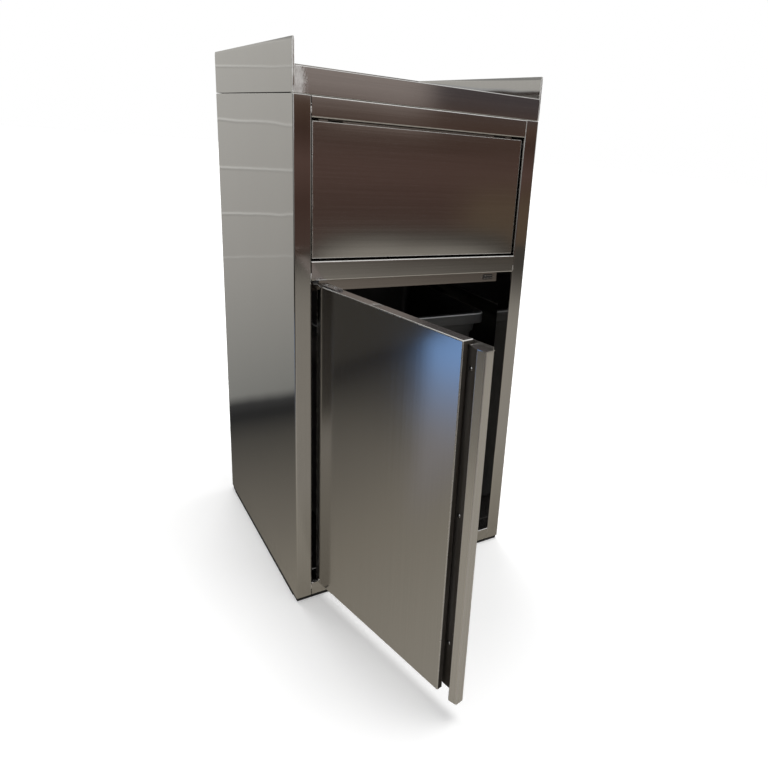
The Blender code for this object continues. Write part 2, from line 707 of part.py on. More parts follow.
def door_skins(axis):
    """The door's outer tray, its edge cut back at the finger slot, and the liner that closes its back."""
    low = (DOOR_LEFT, 0, DOOR_BOTTOM)
    high = (DOOR_FACE_RIGHT, PULL_BACK, DOOR_TOP)
    skin = tray("door_outer_skin", low, high, Y_AXIS, DOOR_FOLD, BRUSHED_STEEL, axis)
    low = (DOOR_FACE_RIGHT - PULL_LAP - SEAT_GAP, PULL_LIP, DOOR_BOTTOM - DOOR_BOTTOM_GAP)
    high = (DOOR_FACE_RIGHT + PULL_LAP, DOOR_THICKNESS, PULL_TOP)
    combine(skin, new_tool("finger_slot", box_mesh("finger_slot", low, high), axis), "DIFFERENCE")
    drill(skin, "pivot_screw_holes", pivot_screw_seats(DOOR_TOP), Z_AXIS, SCREW_SHANK_RADIUS, axis)
    low = (DOOR_LEFT + DOOR_LINER_MARGIN, DOOR_LINER_FRONT, DOOR_BOTTOM + DOOR_LINER_MARGIN)
    high = (DOOR_RIGHT - PULL_LINER_GAP, DOOR_THICKNESS, DOOR_TOP - DOOR_LINER_MARGIN)
    liner = new_piece("door_inner_skin", box_mesh("door_inner_skin", low, high), BRUSHED_STEEL, axis)
    drill(liner, "liner_screw_holes", pull_screw_seats(DOOR_THICKNESS), Y_AXIS, SCREW_SHANK_RADIUS, axis)


def pull_screw_seats(depth):
    """The places of the screws in the back of the finger slot, at a depth into the door."""
    highest = PULL_TOP - PULL_SCREW_DROP
    heights = [highest - step * PULL_SCREW_PITCH for step in range(PULL_SCREW_COUNT)]
    return [Vector((DOOR_FACE_RIGHT + PULL_SCREW_OFFSET, depth, height)) for height in heights]


def pivot_screw_seats(level):
    """The places of the screws that hold a pivot arm, at a level on the door."""
    middle = (PIVOT_ARM_SHOULDER + PIVOT_ARM_LENGTH) / 2
    half = PIVOT_SCREW_PITCH / 2
    return [Vector((middle + step, DOOR_THICKNESS / 2, level)) for step in (-half, half)]


def door_pull(axis):
    """The full-length pull: one folded channel that makes the finger slot's back and the leaning bar."""
    bar_front = (DOOR_RIGHT - PULL_BAR_WIDTH, 0)
    bar_edge = (DOOR_RIGHT, PULL_BAR_LEAN)
    bar_back = (DOOR_RIGHT, PULL_BACK)
    bar_return = (DOOR_RIGHT - PULL_BAR_WIDTH, PULL_RETURN)
    lap_end = (DOOR_FACE_RIGHT - PULL_LAP, PULL_BACK)
    path = [bar_return, bar_front, bar_edge, bar_back, lap_end]
    cap_bottom = PULL_TOP - TOP_SHEET
    span = (DOOR_BOTTOM, cap_bottom - SEAT_GAP)
    channel = folded_sheet("handle_channel", path, span, "XY", SHEET, FOLD_RADIUS, BRUSHED_STEEL, axis)
    drill(channel, "pull_screw_holes", pull_screw_seats(PULL_BACK), Y_AXIS, SCREW_SHANK_RADIUS, axis)
    slot_side = DOOR_FACE_RIGHT + SEAT_GAP
    outline = [(slot_side, PULL_LIP), bar_front, bar_edge, bar_back, (slot_side, PULL_BACK)]
    cap = plate_mesh("handle_top_cap", outline, cap_bottom, PULL_TOP)
    new_piece("handle_top_cap", cap, BRUSHED_STEEL, axis)
    screw = screw_mesh("pull_screw", SHORT_SCREW_LENGTH)
    heads = pull_screw_seats(PULL_BACK - SHEET - SEAT_GAP)
    new_copies("door_edge_screw", screw, heads, -Y_AXIS, PLAIN_STEEL, axis)


def pivot_arm(name, bottom, thickness, pin_bottom, pin_top, axis):
    """A flat arm on the door's edge, with a round end on the axis that carries the pivot pin."""
    outline = []
    for step in range(ROUND_STEPS // 2 + 1):
        angle = radians(90 + 180 * step / (ROUND_STEPS // 2))
        outline.append((PIVOT_ARM_RADIUS * cos(angle), PIVOT_ARM_RADIUS * sin(angle)))
    inner = DOOR_LINER_FRONT - SEAT_GAP - PIVOT_ARM_INSET
    outline += [
        (PIVOT_ARM_SHOULDER, PIVOT_ARM_INSET),
        (PIVOT_ARM_LENGTH, PIVOT_ARM_INSET),
        (PIVOT_ARM_LENGTH, inner),
        (PIVOT_ARM_SHOULDER, inner),
    ]
    arm = new_piece(name, plate_mesh(name, outline, bottom, bottom + thickness), PLAIN_STEEL, axis)
    profile = [(0, pin_top), (PIVOT_PIN_RADIUS, pin_top), (PIVOT_PIN_RADIUS, pin_bottom), (0, pin_bottom)]
    rod = turned_mesh(f"{name}_pin", profile)
    combine(arm, new_tool(f"{name}_pin", rod, axis), "UNION")
    return arm


def door_pivots(axis):
    """The arms and pins that the door turns on, with the bush and the washer they run against."""
    top_bottom = DOOR_TOP + SEAT_GAP
    top_face = top_bottom + TOP_ARM_THICKNESS
    arm = pivot_arm("door_top_pivot", top_bottom, TOP_ARM_THICKNESS, top_bottom + TOP_ARM_THICKNESS / 2,
                    DOOR_HEAD + PIVOT_PIN_ENGAGEMENT, axis)
    drill(arm, "top_arm_holes", pivot_screw_seats(top_face), Z_AXIS, SCREW_SHANK_RADIUS, axis)
    screw = screw_mesh("pivot_screw", SCREW_SHANK_LENGTH)
    heads = pivot_screw_seats(top_face + SEAT_GAP)
    new_copies("top_pivot_screw", screw, heads, Z_AXIS, PLAIN_STEEL, axis)

    bottom_bottom = DOOR_BOTTOM - SEAT_GAP - BOTTOM_ARM_THICKNESS
    pivot_arm("door_bottom_pivot", bottom_bottom, BOTTOM_ARM_THICKNESS, DOOR_SILL - PIVOT_PIN_ENGAGEMENT,
              bottom_bottom + BOTTOM_ARM_THICKNESS / 2, axis)

    bore = PIVOT_PIN_RADIUS + SCREW_CLEARANCE
    bush = ring_mesh("top_pivot_bush", PIVOT_BUSH_RADIUS, bore, top_face + SEAT_GAP, DOOR_HEAD - SEAT_GAP)
    new_piece("top_pivot_bush", bush, BLACK_NYLON).location = DOOR_PIVOT
    washer = ring_mesh("bottom_pivot_washer", PIVOT_WASHER_RADIUS, bore, DOOR_SILL + SEAT_GAP,
                       bottom_bottom - SEAT_GAP)
    new_piece("bottom_pivot_washer", washer, BLACK_NYLON).location = DOOR_PIVOT


def door_stops():
    """Angle strips that the closed door rests near: one over it, with the catch, and one by its hinges."""
    leg_back = STOP_FACE + STOP_LEG
    roof = DOOR_HEAD - SEAT_GAP
    path = [(leg_back, roof), (STOP_FACE, roof), (STOP_FACE, roof - HEAD_STOP_HEIGHT)]
    span = (SEAT_GAP - JAMB, JAMB - HEAD_STOP_END_GAP)
    head = folded_sheet("door_head_stop", path, span, "YZ", SHEET, FOLD_RADIUS, BRUSHED_STEEL)
    half = Vector((CATCH_WIDTH / 2 + SEAT_GAP, DRILL_REACH, CATCH_HEIGHT / 2 + SEAT_GAP))
    window = box_mesh("catch_window", CATCH_CENTRE - half, CATCH_CENTRE + half)
    combine(head, new_tool("catch_window", window), "DIFFERENCE")
    drill(head, "catch_screw_holes", catch_screw_seats(STOP_FACE), Y_AXIS, SCREW_SHANK_RADIUS)
    foot = DOOR_SILL + SEAT_GAP
    top = roof - HEAD_STOP_HEIGHT - SEAT_GAP
    wall = SEAT_GAP - JAMB
    path = [(wall, leg_back), (wall, STOP_FACE), (wall + STOP_WIDTH, STOP_FACE)]
    folded_sheet("door_hinge_side_stop", path, (foot, top), "XY", SHEET, FOLD_RADIUS, BRUSHED_STEEL)


def catch_screw_seats(level):
    """The places of the catch's two screws, one through each ear."""
    reach = (CATCH_WIDTH + CATCH_EAR) / 2
    return [Vector((CATCH_CENTRE.x + side * reach, level, CATCH_CENTRE.z)) for side in (-1, 1)]


def catch(axis):
    """A magnetic catch in the window of the head stop, and the strike that it holds on the door."""
    half = Vector((CATCH_WIDTH / 2, 0, CATCH_HEIGHT / 2))
    body_mesh = box_mesh("catch_body", CATCH_CENTRE - half, CATCH_CENTRE + half + Y_AXIS * CATCH_DEPTH)
    body = new_piece("catch_body", body_mesh, BLACK_PLASTIC)
    ear_front = STOP_FACE + SHEET + SEAT_GAP
    ear_half = Vector((CATCH_WIDTH / 2 + CATCH_EAR, 0, CATCH_HEIGHT / 2 - SEAT_GAP))
    centre = Vector((CATCH_CENTRE.x, ear_front, CATCH_CENTRE.z))
    ears = box_mesh("catch_ears", centre - ear_half, centre + ear_half + Y_AXIS * CATCH_EAR_THICKNESS)
    combine(body, new_tool("catch_ears", ears), "UNION")
    ear_back = ear_front + CATCH_EAR_THICKNESS
    drill(body, "catch_ear_holes", catch_screw_seats(ear_back), Y_AXIS, SCREW_SHANK_RADIUS)
    screw = screw_mesh("catch_screw", SHORT_SCREW_LENGTH)
    heads = [seat + Y_AXIS * SEAT_GAP for seat in catch_screw_seats(ear_back)]
    new_copies("catch_screw", screw, heads, Y_AXIS, PLAIN_STEEL)
    for name, side in (("catch_lower_pole", -1), ("catch_upper_pole", 1)):
        middle = CATCH_CENTRE + Z_AXIS * side * POLE_PITCH / 2 - Y_AXIS * SEAT_GAP
        half = Vector((POLE_LENGTH / 2, 0, POLE_THICKNESS / 2))
        pole = box_mesh(name, middle - half - Y_AXIS * POLE_STAND, middle + half)
        new_piece(name, pole, PLAIN_STEEL)

    strike_x = CATCH_CENTRE.x - DOOR_PIVOT.x
    back = DOOR_THICKNESS + SEAT_GAP
    low = (strike_x - STRIKE_WIDTH / 2, back, CATCH_CENTRE.z - STRIKE_HEIGHT / 2)
    high = (strike_x + STRIKE_WIDTH / 2, back + STRIKE_THICKNESS, CATCH_CENTRE.z + STRIKE_HEIGHT / 2)
    new_piece("strike_plate", box_mesh("strike_plate", low, high), PLAIN_STEEL, axis)


def waste_bin():
    """A tapered bin with rounded corners and a turned-over rim, standing to the right on the base panel."""
    half_width = JAMB - STOP_WIDTH - BIN_SIDE_CLEARANCE
    front = FRAME_BACK + BIN_FRONT_CLEARANCE
    back = BACK - BIN_REAR_CLEARANCE
    bottom = DOOR_SILL + SEAT_GAP + BIN_WALL / 2
    top = DOOR_HEAD - BIN_HEAD_CLEARANCE - BIN_WALL / 2
    inset = BIN_RIM_WIDTH
    low = Vector((BIN_SHIFT - half_width + inset, front + inset, bottom))
    high = Vector((BIN_SHIFT + half_width - inset, back - inset, top))
    middle = (low + high) / 2
    size = high - low
    work = box_work(low, high)
    upright = [edge for edge in work.edges if abs(edge.verts[0].co.z - edge.verts[1].co.z) > size.z / 2]
    bmesh.ops.bevel(work, geom=upright, offset=BIN_CORNER_RADIUS, segments=BIN_CORNER_STEPS, profile=0.5,
                    affect="EDGES")
    work.normal_update()
    mouth = max(work.faces, key=lambda face: face.normal.z)
    bmesh.ops.delete(work, geom=[mouth], context="FACES_ONLY")
    for vert in work.verts:
        if vert.co.z < middle.z:
            vert.co.x = middle.x + (vert.co.x - middle.x) * (1 - 2 * BIN_TAPER / size.x)
            vert.co.y = middle.y + (vert.co.y - middle.y) * (1 - 2 * BIN_TAPER / size.y)
    mouth_edges = [edge for edge in work.edges if edge.is_boundary]
    rim = bmesh.ops.extrude_edge_only(work, edges=mouth_edges)["geom"]
    for vert in (part for part in rim if isinstance(part, bmesh.types.BMVert)):
        vert.co.x = middle.x + (vert.co.x - middle.x) * (1 + 2 * inset / size.x)
        vert.co.y = middle.y + (vert.co.y - middle.y) * (1 + 2 * inset / size.y)
    rim_edges = [part for part in rim if isinstance(part, bmesh.types.BMEdge)]
    skirt = bmesh.ops.extrude_edge_only(work, edges=rim_edges)["geom"]
    for vert in (part for part in skirt if isinstance(part, bmesh.types.BMVert)):
        vert.co.z -= BIN_RIM_SKIRT
    bmesh.ops.recalc_face_normals(work, faces=work.faces[:])
    bin_piece = new_piece("waste_bin", mesh_from(work, "waste_bin"), BIN_PLASTIC)
    thicken(bin_piece, BIN_WALL, 0)


def build():
    """Make the whole cabinet."""
    side_panel("left_side_panel", -1)
    side_panel("right_side_panel", 1)
    back_panel()
    front_frame()
    base_panel()
    base_strips()
    worktop()
    worktop_stiffener("worktop_front_stiffener", FRONT + STIFFENER_SETBACK)
    worktop_stiffener("worktop_rear_stiffener", BACK - STIFFENER_SETBACK)
    flap(new_axis("flap_axis", FLAP_AXIS))
    flap_seat()
    door_axis = new_axis("door_axis", DOOR_PIVOT)
    door_skins(door_axis)
    door_pull(door_axis)
    door_pivots(door_axis)
    door_stops()
    catch(door_axis)
    waste_bin()
    door_axis.rotation_euler.z = -radians(DOOR_OPEN_ANGLE)


build()
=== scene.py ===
"""Looks of the stainless waste cabinet: smooth folded sheet, fasteners, bin, finishes, stage and camera."""
import json
from math import cos, radians, sin, tan

import bpy
import numpy as np
from mathutils import Matrix, Vector


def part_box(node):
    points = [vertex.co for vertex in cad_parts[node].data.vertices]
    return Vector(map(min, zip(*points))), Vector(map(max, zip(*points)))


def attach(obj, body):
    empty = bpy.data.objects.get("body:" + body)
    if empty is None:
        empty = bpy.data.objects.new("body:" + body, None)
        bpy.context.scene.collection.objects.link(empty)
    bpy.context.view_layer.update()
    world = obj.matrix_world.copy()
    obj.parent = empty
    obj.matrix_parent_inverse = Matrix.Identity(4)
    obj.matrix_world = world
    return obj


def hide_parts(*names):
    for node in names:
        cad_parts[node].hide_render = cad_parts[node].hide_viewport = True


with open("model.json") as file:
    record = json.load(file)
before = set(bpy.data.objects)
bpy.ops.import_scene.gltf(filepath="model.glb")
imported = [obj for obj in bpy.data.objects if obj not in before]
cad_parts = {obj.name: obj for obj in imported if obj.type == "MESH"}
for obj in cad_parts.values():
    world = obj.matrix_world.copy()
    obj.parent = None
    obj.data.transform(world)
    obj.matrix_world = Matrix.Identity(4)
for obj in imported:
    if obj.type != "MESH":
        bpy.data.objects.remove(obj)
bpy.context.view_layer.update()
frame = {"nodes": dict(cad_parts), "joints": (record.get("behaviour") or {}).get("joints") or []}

# Planes and levels of the carcass, in metres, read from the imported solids
SIDE_LOW, SIDE_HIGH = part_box("left_side_panel")
RAIL_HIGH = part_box("top_rail")[1]
TOP_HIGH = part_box("worktop")[1]
RIGHT = TOP_HIGH.x
FRONT = SIDE_LOW.y
BACK = SIDE_HIGH.y
BASE_LEVEL = SIDE_LOW.z
CARCASS_TOP = SIDE_HIGH.z
RAIL_END = RAIL_HIGH.x
FRAME_BACK = RAIL_HIGH.y
UPSTAND_TOP = TOP_HIGH.z

# Sheet, folds and running gaps
SHEET = 0.0012
TOP_SHEET = 0.0015
GAP = 0.0003
SEAM = 0.0012
FOLD = 0.0030
TRAY_FOLD = 0.0024
LIP_FOLD = 0.0018
EDGE_ROLL = 0.0016
HEM = 0.0040
HEM_EDGE = 0.0010
HEM_BAND = 0.0070
HEM_LEAN = 0.0008
UPSTAND = 0.050
LIP = 0.050
LIP_SETBACK = 0.0005
LIP_RETURN = 0.016
REAR_FLANGE = 0.022
FOOT_FLANGE = 0.034
HEAD_FLANGE = 0.020
JAMB = RAIL_END + GAP

# The tray top: its level, the foot of its lip, and the middle line and ends of its upstands
TRAY_LEVEL = UPSTAND_TOP - UPSTAND
LIP_BOTTOM = TRAY_LEVEL - LIP
TRAY_REACH = RIGHT - HEM / 2
TRAY_REAR = BACK - HEM / 2
UPSTAND_FOLD = HEM * 0.65
GROUND_END = 0.0030

# Screws and rivets
SCREW_HEAD = 0.0020
FLAT_HEAD = 0.0006
HEAD_RADIUS = 0.0040
SHANK_RADIUS = 0.0020
SHORT_SHANK = 0.0040
LONG_SHANK = 0.0080

# The bin: its wall, rolled rim, the skirt of the rim, the shoulder below it, taper and corners
BIN_WALL = 0.0030
BIN_RIM = 0.016
BIN_ROLL = 0.0030
BIN_SKIRT = 0.028
BIN_SHOULDER = 0.030
BIN_TAPER = 0.045
BIN_CORNER = 0.026
BIN_FOOT_CORNER = 0.012

# How finely rounds are cut, and the hair's breadth that keeps flat runs flat beside them
FOLD_STEPS = 8
CORNER_STEPS = 6
EDGE_STEPS = 4
TURN_STEPS = 32
TACK_STEPS = 20
HOLD = 0.0004

# The least corner of a drawn-in loop, as a share of its full round
LEAST_CORNER = 1 / 6

# Angles past which edges are shaded sharp, and how far up or down the normal of a level face points
SHARP = radians(35)
HEM_SHARP = radians(20)
BIN_SHARP = radians(50)
LEVEL_NORMAL = 0.8

# The attribute for a point's painted highlight on folds and rims, or its real wear on ground edges, and the
# value on ground edges
HIGHLIGHT_AND_WEAR_ATTRIBUTE = "fold_highlight_and_wear"
GROUND = 2.5

# The open door: its pivot, and the directions along, through and up it
DOOR_HINGE = next(joint for joint in frame["joints"] if joint["name"] == "door_hinge")
DOOR_PIVOT = np.array([*DOOR_HINGE["pos_m"][:2], 0])
DOOR_TURN = radians(DOOR_HINGE["range_deg"][0])
DOOR_AXES = np.array([[cos(DOOR_TURN), sin(DOOR_TURN), 0], [-sin(DOOR_TURN), cos(DOOR_TURN), 0], [0, 0, 1]])


def door_span(node_name):
    """The low and high corner of a solid on the door, along, through and up from its pivot."""
    mesh = frame["nodes"][node_name].data
    points = np.empty(len(mesh.vertices) * 3, np.float32)
    mesh.vertices.foreach_get("co", points)
    local = (points.reshape(-1, 3) - DOOR_PIVOT) @ DOOR_AXES.T
    return local.min(0), local.max(0)


# The door's skin, and its pull with the finger slot
SKIN_LOW, SKIN_HIGH = door_span("door_outer_skin")
PULL_LOW, PULL_HIGH = door_span("handle_channel")
CAP_LOW, CAP_HIGH = door_span("handle_top_cap")
PULL_BAR = 0.0214
PULL_LEAN = 0.0040
PULL_RETURN = 0.012
PULL_LIP = 0.012


# Surfaces: each shell is its points, its faces and how bright each point is painted, as a highlight on folds
# and rims or as wear on ground edges

def quarter_profile(radius, steps=FOLD_STEPS):
    """Insets and depths along a quarter round, from the face (inset r, depth 0) to the side (0, r)."""
    angle = np.linspace(0, np.pi / 2, steps + 1)
    return radius * (1 - np.sin(angle)), radius * (1 - np.cos(angle))


def bent_line(corners, radius, steps=FOLD_STEPS):
    """Points along straight runs joined by arcs, with the left-hand normal and the bend (0 or 1) at each.

    At a corner that turns by t, the arc's centre lies the radius to the inner side of the
    tangent point, radius * tan(t / 2) before the corner, and the normal turns evenly by t.
    """
    corners = np.asarray(corners, float)
    runs = np.diff(corners, axis=0)
    runs = runs / np.linalg.norm(runs, axis=1, keepdims=True)
    left = np.stack([-runs[:, 1], runs[:, 0]], 1)
    points = [corners[:1]]
    normals = [left[:1]]
    bends = [np.zeros(1)]
    for corner, arriving, leaving, across in zip(corners[1:-1], runs, runs[1:], left):
        turn = np.arctan2(arriving[0] * leaving[1] - arriving[1] * leaving[0], arriving @ leaving)
        side = np.sign(turn)
        start = corner - arriving * radius * tan(abs(turn) / 2)
        centre = start + across * radius * side
        angle = turn * np.linspace(0, 1, steps + 1)
        turned = np.stack([across[0] * np.cos(angle) - across[1] * np.sin(angle),
                           across[0] * np.sin(angle) + across[1] * np.cos(angle)], 1)
        arc = centre - side * radius * turned
        points += [arc[:1] - arriving * HOLD, arc, arc[-1:] + leaving * HOLD]
        normals += [turned[:1], turned, turned[-1:]]
        bends += [np.zeros(1), np.ones(len(arc)), np.zeros(1)]
    points.append(corners[-1:])
    normals.append(left[-1:])
    bends.append(np.zeros(1))
    return np.concatenate(points), np.concatenate(normals), np.concatenate(bends)


def strip_faces(rows, columns):
    """Quads between neighbouring rows of a grid of points whose rows close on themselves."""
    across = np.arange(columns)
    first = np.arange(rows - 1)[:, None] * columns + across
    second = np.arange(rows - 1)[:, None] * columns + (across + 1) % columns
    return np.stack([first, second, second + columns, first + columns], -1).reshape(-1, 4)


def outward(points, faces, highlight_and_wear):
    """A closed shell, its faces turned over if its signed volume is negative."""
    volume = 0.0
    for group in faces:
        for corner in range(1, group.shape[1] - 1):
            a, b, c = points[group[:, 0]], points[group[:, corner]], points[group[:, corner + 1]]
            volume += np.einsum("ij,ij->", a, np.cross(b, c))
    return points, [group[:, ::-1] if volume < 0 else group for group in faces], highlight_and_wear


def loft(loops, highlight_and_wear=0.0):
    """A closed skin through a stack of closed loops, each end filled by a fan round its middle."""
    loops = np.asarray(loops, float)
    rows, columns = loops.shape[:2]
    points = np.concatenate([loops.reshape(-1, 3), loops[:1].mean(1), loops[-1:].mean(1)])
    ring = np.arange(columns)
    following = (ring + 1) % columns
    last = (rows - 1) * columns
    first_fan = np.stack([following, ring, np.full(columns, rows * columns)], 1)
    last_fan = np.stack([last + ring, last + following, np.full(columns, rows * columns + 1)], 1)
    lit_and_worn = np.broadcast_to(np.reshape(highlight_and_wear, (-1, 1)), (rows, columns)).ravel()
    return outward(points, [strip_faces(rows, columns), first_fan, last_fan], np.append(lit_and_worn, [0, 0]))


def swept_sheet(corners, radius, thickness, span, lay, roll=0.0, lit_and_worn=1.0):
    """A folded sheet: a bent line and its offset by the thickness, carried straight over a span.

    lay turns the two section coordinates and the distance along the span into X, Y and Z. With a
    roll, both ends of the span turn in along a quarter round of that radius. The last argument scales
    the painted highlight along the folds; the rolled ends get it in full.
    """
    line, normals, bends = bent_line(corners, radius)
    bends = bends * lit_and_worn
    insets = np.zeros(2)
    reaches = np.asarray(span, float)
    if roll:
        inset, depth = quarter_profile(roll, EDGE_STEPS)
        insets = np.concatenate([inset, [0, 0], inset[::-1]])
        reaches = np.concatenate([span[0] + depth, [span[0] + roll + HOLD, span[1] - roll - HOLD],
                                  span[1] - depth[::-1]])
    loops = []
    highlight_and_wear = []
    for step_in, reach in zip(insets, reaches):
        inner = line + normals * (thickness + step_in)
        section = np.concatenate([line + normals * step_in, inner[::-1]])
        loops.append(lay(section[:, 0], section[:, 1], np.full(len(section), reach)))
        # Folds and rolled ends carry the painted highlight
        highlight_and_wear.append(np.maximum(np.concatenate([bends, bends[::-1]]), step_in > 0))
    count = 2 * len(line)
    near = np.arange(len(line) - 1)
    cap = np.stack([near, near + 1, count - 2 - near, count - 1 - near], 1)
    last = (len(loops) - 1) * count
    faces = [strip_faces(len(loops), count), cap[:, ::-1], cap + last]
    return outward(np.concatenate(loops), faces, np.concatenate(highlight_and_wear))


def upright(first, second, reach):
    """Section in plan, carried up."""
    return np.stack([first, second, reach], -1)


def crosswise(first, second, reach):
    """Section seen from the side, carried across the cabinet."""
    return np.stack([reach, first, second], -1)


def rounded_rectangle(half_width, half_height, radius, steps=CORNER_STEPS):
    """A closed loop round a rectangle: four quarter circles set in by the radius from its corners."""
    quarter = np.linspace(0, np.pi / 2, steps + 1)
    angle = np.concatenate([quarter + turn * np.pi / 2 for turn in range(4)])
    centre_x = np.repeat([1, -1, -1, 1], steps + 1) * (half_width - radius)
    centre_y = np.repeat([1, 1, -1, -1], steps + 1) * (half_height - radius)
    return np.stack([centre_x + radius * np.cos(angle), centre_y + radius * np.sin(angle)], 1)


def slotted(loop, down, slot):
    """Add points to a tray's loop where its edge is cut back, and hold the cut part at the lip's depth.

    slot is (reach, top, lip): the cut runs from the reach along the bottom, round the lower right
    corner and up the right side to the top.
    """
    reach, top, lip = slot
    turn = 3 * len(loop) // 4
    bottom = loop[turn, 1]
    right = loop[-1, 0]
    cut_start = [[reach - HOLD, bottom], [reach, bottom]]
    cut_end = [[right, top], [right, top + HOLD]]
    loop = np.concatenate([loop[:turn], cut_start, loop[turn:], cut_end])
    depths = np.full(len(loop), down)
    depths[turn + 1:-1] = min(down, lip)
    return loop, depths


def folded_tray(half_width, half_height, depth, fold, slot=None):
    """A tray pressed from sheet: rectangle loops run from the face over the fold, down the flange and back.

    The loops are drawn in and down by a quarter round outside and by a smaller one inside. They are
    given as (across, depth, up) about the middle of the face.
    """
    inset, level = quarter_profile(fold)
    inner_inset, inner_level = quarter_profile(fold - SHEET)
    insets = np.concatenate([[fold + HOLD], inset, [0, 0, SHEET, SHEET], inner_inset[::-1] + SHEET,
                             [fold + HOLD]])
    depths = np.concatenate([[0], level, [fold + HOLD, depth, depth, fold + HOLD],
                             inner_level[::-1] + SHEET, [SHEET]])
    highlight_and_wear = np.zeros(len(insets))
    # The outer fold carries the painted highlight
    highlight_and_wear[1:1 + len(inset)] = 1
    loops = []
    for step_in, down in zip(insets, depths):
        corner = max(fold - step_in, fold * LEAST_CORNER)
        loop = rounded_rectangle(half_width - step_in, half_height - step_in, corner)
        downs = np.full(len(loop), down)
        if slot:
            loop, downs = slotted(loop, down, slot)
        loops.append(np.stack([loop[:, 0], downs, loop[:, 1]], 1))
    return np.stack(loops), highlight_and_wear


def at_level(outline, level):
    """An outline in plan, set at a height."""
    return np.column_stack([outline, np.full(len(outline), level)])


def rounded_block(low, high, edge):
    """A block whose edges are rounded: rectangle loops drawn in along a quarter round at both ends."""
    low = np.asarray(low, float)
    high = np.asarray(high, float)
    middle = (low + high) / 2
    half = (high - low) / 2
    inset, depth = quarter_profile(edge, EDGE_STEPS)
    insets = np.concatenate([inset, inset[::-1]])
    levels = np.concatenate([low[2] + depth, high[2] - depth[::-1]])
    loops = []
    for step_in, level in zip(insets, levels):
        corner = max(edge - step_in, edge * LEAST_CORNER)
        loop = rounded_rectangle(half[0] - step_in, half[1] - step_in, corner, EDGE_STEPS)
        loops.append(at_level(loop + middle[:2], level))
    return loft(loops)


def prism(outline, bottom, top):
    """A plate: an outline in plan between two heights."""
    outline = np.asarray(outline, float)
    return loft([at_level(outline, bottom), at_level(outline, top)])


def turned_loops(radii, heights, waists=None, steps=TURN_STEPS):
    """Rings about Z: each radius and height of a profile carried round a full turn.

    A waist w below 1 draws a ring in to a cross: its radius is multiplied by w + (1 - w) * |cos 2t| ^ 3
    at angle t.
    """
    angle = np.linspace(0, 2 * np.pi, steps, endpoint=False)
    radii = np.asarray(radii, float)[:, None]
    waist = np.ones_like(radii) if waists is None else np.asarray(waists, float)[:, None]
    reach = radii * (waist + (1 - waist) * np.abs(np.cos(2 * angle)) ** 3)
    heights = np.broadcast_to(np.asarray(heights, float)[:, None], reach.shape)
    return np.stack([reach * np.cos(angle), reach * np.sin(angle), heights], -1)


def placed(shell, seat, axis):
    """A shell made about Z, turned on to an axis and moved to its seat."""
    points, faces, highlight_and_wear = shell
    turn = np.array(Vector((0, 0, 1)).rotation_difference(Vector(axis)).to_matrix())
    return points @ turn.T + np.asarray(seat, float), faces, highlight_and_wear


def on_door(shell):
    """A shell given along, through and up the door, swung to the stored open angle about the pivot."""
    points, faces, highlight_and_wear = shell
    return points @ DOOR_AXES + DOOR_PIVOT, faces, highlight_and_wear


def finish_level_faces(mesh):
    """Give the second finish to the faces that look up or down."""
    normals = np.empty(len(mesh.polygons) * 3, np.float32)
    mesh.polygons.foreach_get("normal", normals)
    level = np.abs(normals.reshape(-1, 3)[:, 2]) > LEVEL_NORMAL
    mesh.polygons.foreach_set("material_index", level.astype(np.int32))


def new_piece(name, shells, body, nodes, finishes, sharp=SHARP):
    """A finished piece: shells put into one mesh, shaded smooth but for its sharp edges.

    Where two finishes are given, faces that look up or down take the second.
    """
    faces = []
    start = 0
    for points, groups, _ in shells:
        faces += [face for group in groups for face in (group + start).tolist()]
        start += len(points)
    mesh = bpy.data.meshes.new(name)
    mesh.from_pydata(np.concatenate([shell[0] for shell in shells]).tolist(), [], faces)
    mesh.update()
    lit_and_worn = mesh.attributes.new(HIGHLIGHT_AND_WEAR_ATTRIBUTE, "FLOAT", "POINT")
    lit_and_worn.data.foreach_set("value", np.concatenate([shell[2] for shell in shells]).astype(np.float32))
    mesh.shade_smooth()
    mesh.set_sharp_from_angle(angle=sharp)
    for finish in finishes:
        mesh.materials.append(finish)
    if len(finishes) > 1:
        finish_level_faces(mesh)
    piece = bpy.data.objects.new(name, mesh)
    bpy.context.scene.collection.objects.link(piece)
    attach(piece, body)
    if nodes:
        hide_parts(*nodes)


# Shader nodes

def fill(tree, made, inputs):
    """Link or set the named inputs of a node."""
    for key, value in inputs.items():
        if isinstance(value, bpy.types.NodeSocket):
            tree.links.new(value, made.inputs[key])
        else:
            made.inputs[key].default_value = value


def node(tree, kind, inputs=None, **settings):
    """Add a shader node, set its properties, and link or set its inputs."""
    made = tree.nodes.new(kind)
    for key, value in settings.items():
        setattr(made, key, value)
    fill(tree, made, inputs or {})
    return made


def sums(tree, operation, *values):
    """One arithmetic step on values or sockets."""
    return node(tree, "ShaderNodeMath", dict(enumerate(values)), operation=operation).outputs[0]


def vectors(tree, operation, *values):
    """One step on vectors, which puts out a Vector or a Value."""
    return node(tree, "ShaderNodeVectorMath", dict(enumerate(values)), operation=operation).outputs


def raised(tree, value, mask, share):
    """A value raised by a share of a mask."""
    return sums(tree, "ADD", value, sums(tree, "MULTIPLY", mask, share))


def spread(tree, value, low, high, to_low=0.0, to_high=1.0):
    """Carry a value smoothly from one range to another."""
    inputs = {"Value": value, "From Min": low, "From Max": high, "To Min": to_low, "To Max": to_high}
    return node(tree, "ShaderNodeMapRange", inputs, interpolation_type="SMOOTHSTEP").outputs[0]


def opaque(colour):
    """A colour socket as it is, or a plain colour with full alpha."""
    return colour if isinstance(colour, bpy.types.NodeSocket) else (*colour, 1)


def blend_colour(tree, share, first, second):
    """Mix two colours."""
    inputs = {0: share, 6: opaque(first), 7: opaque(second)}
    return node(tree, "ShaderNodeMix", inputs, data_type="RGBA").outputs[2]


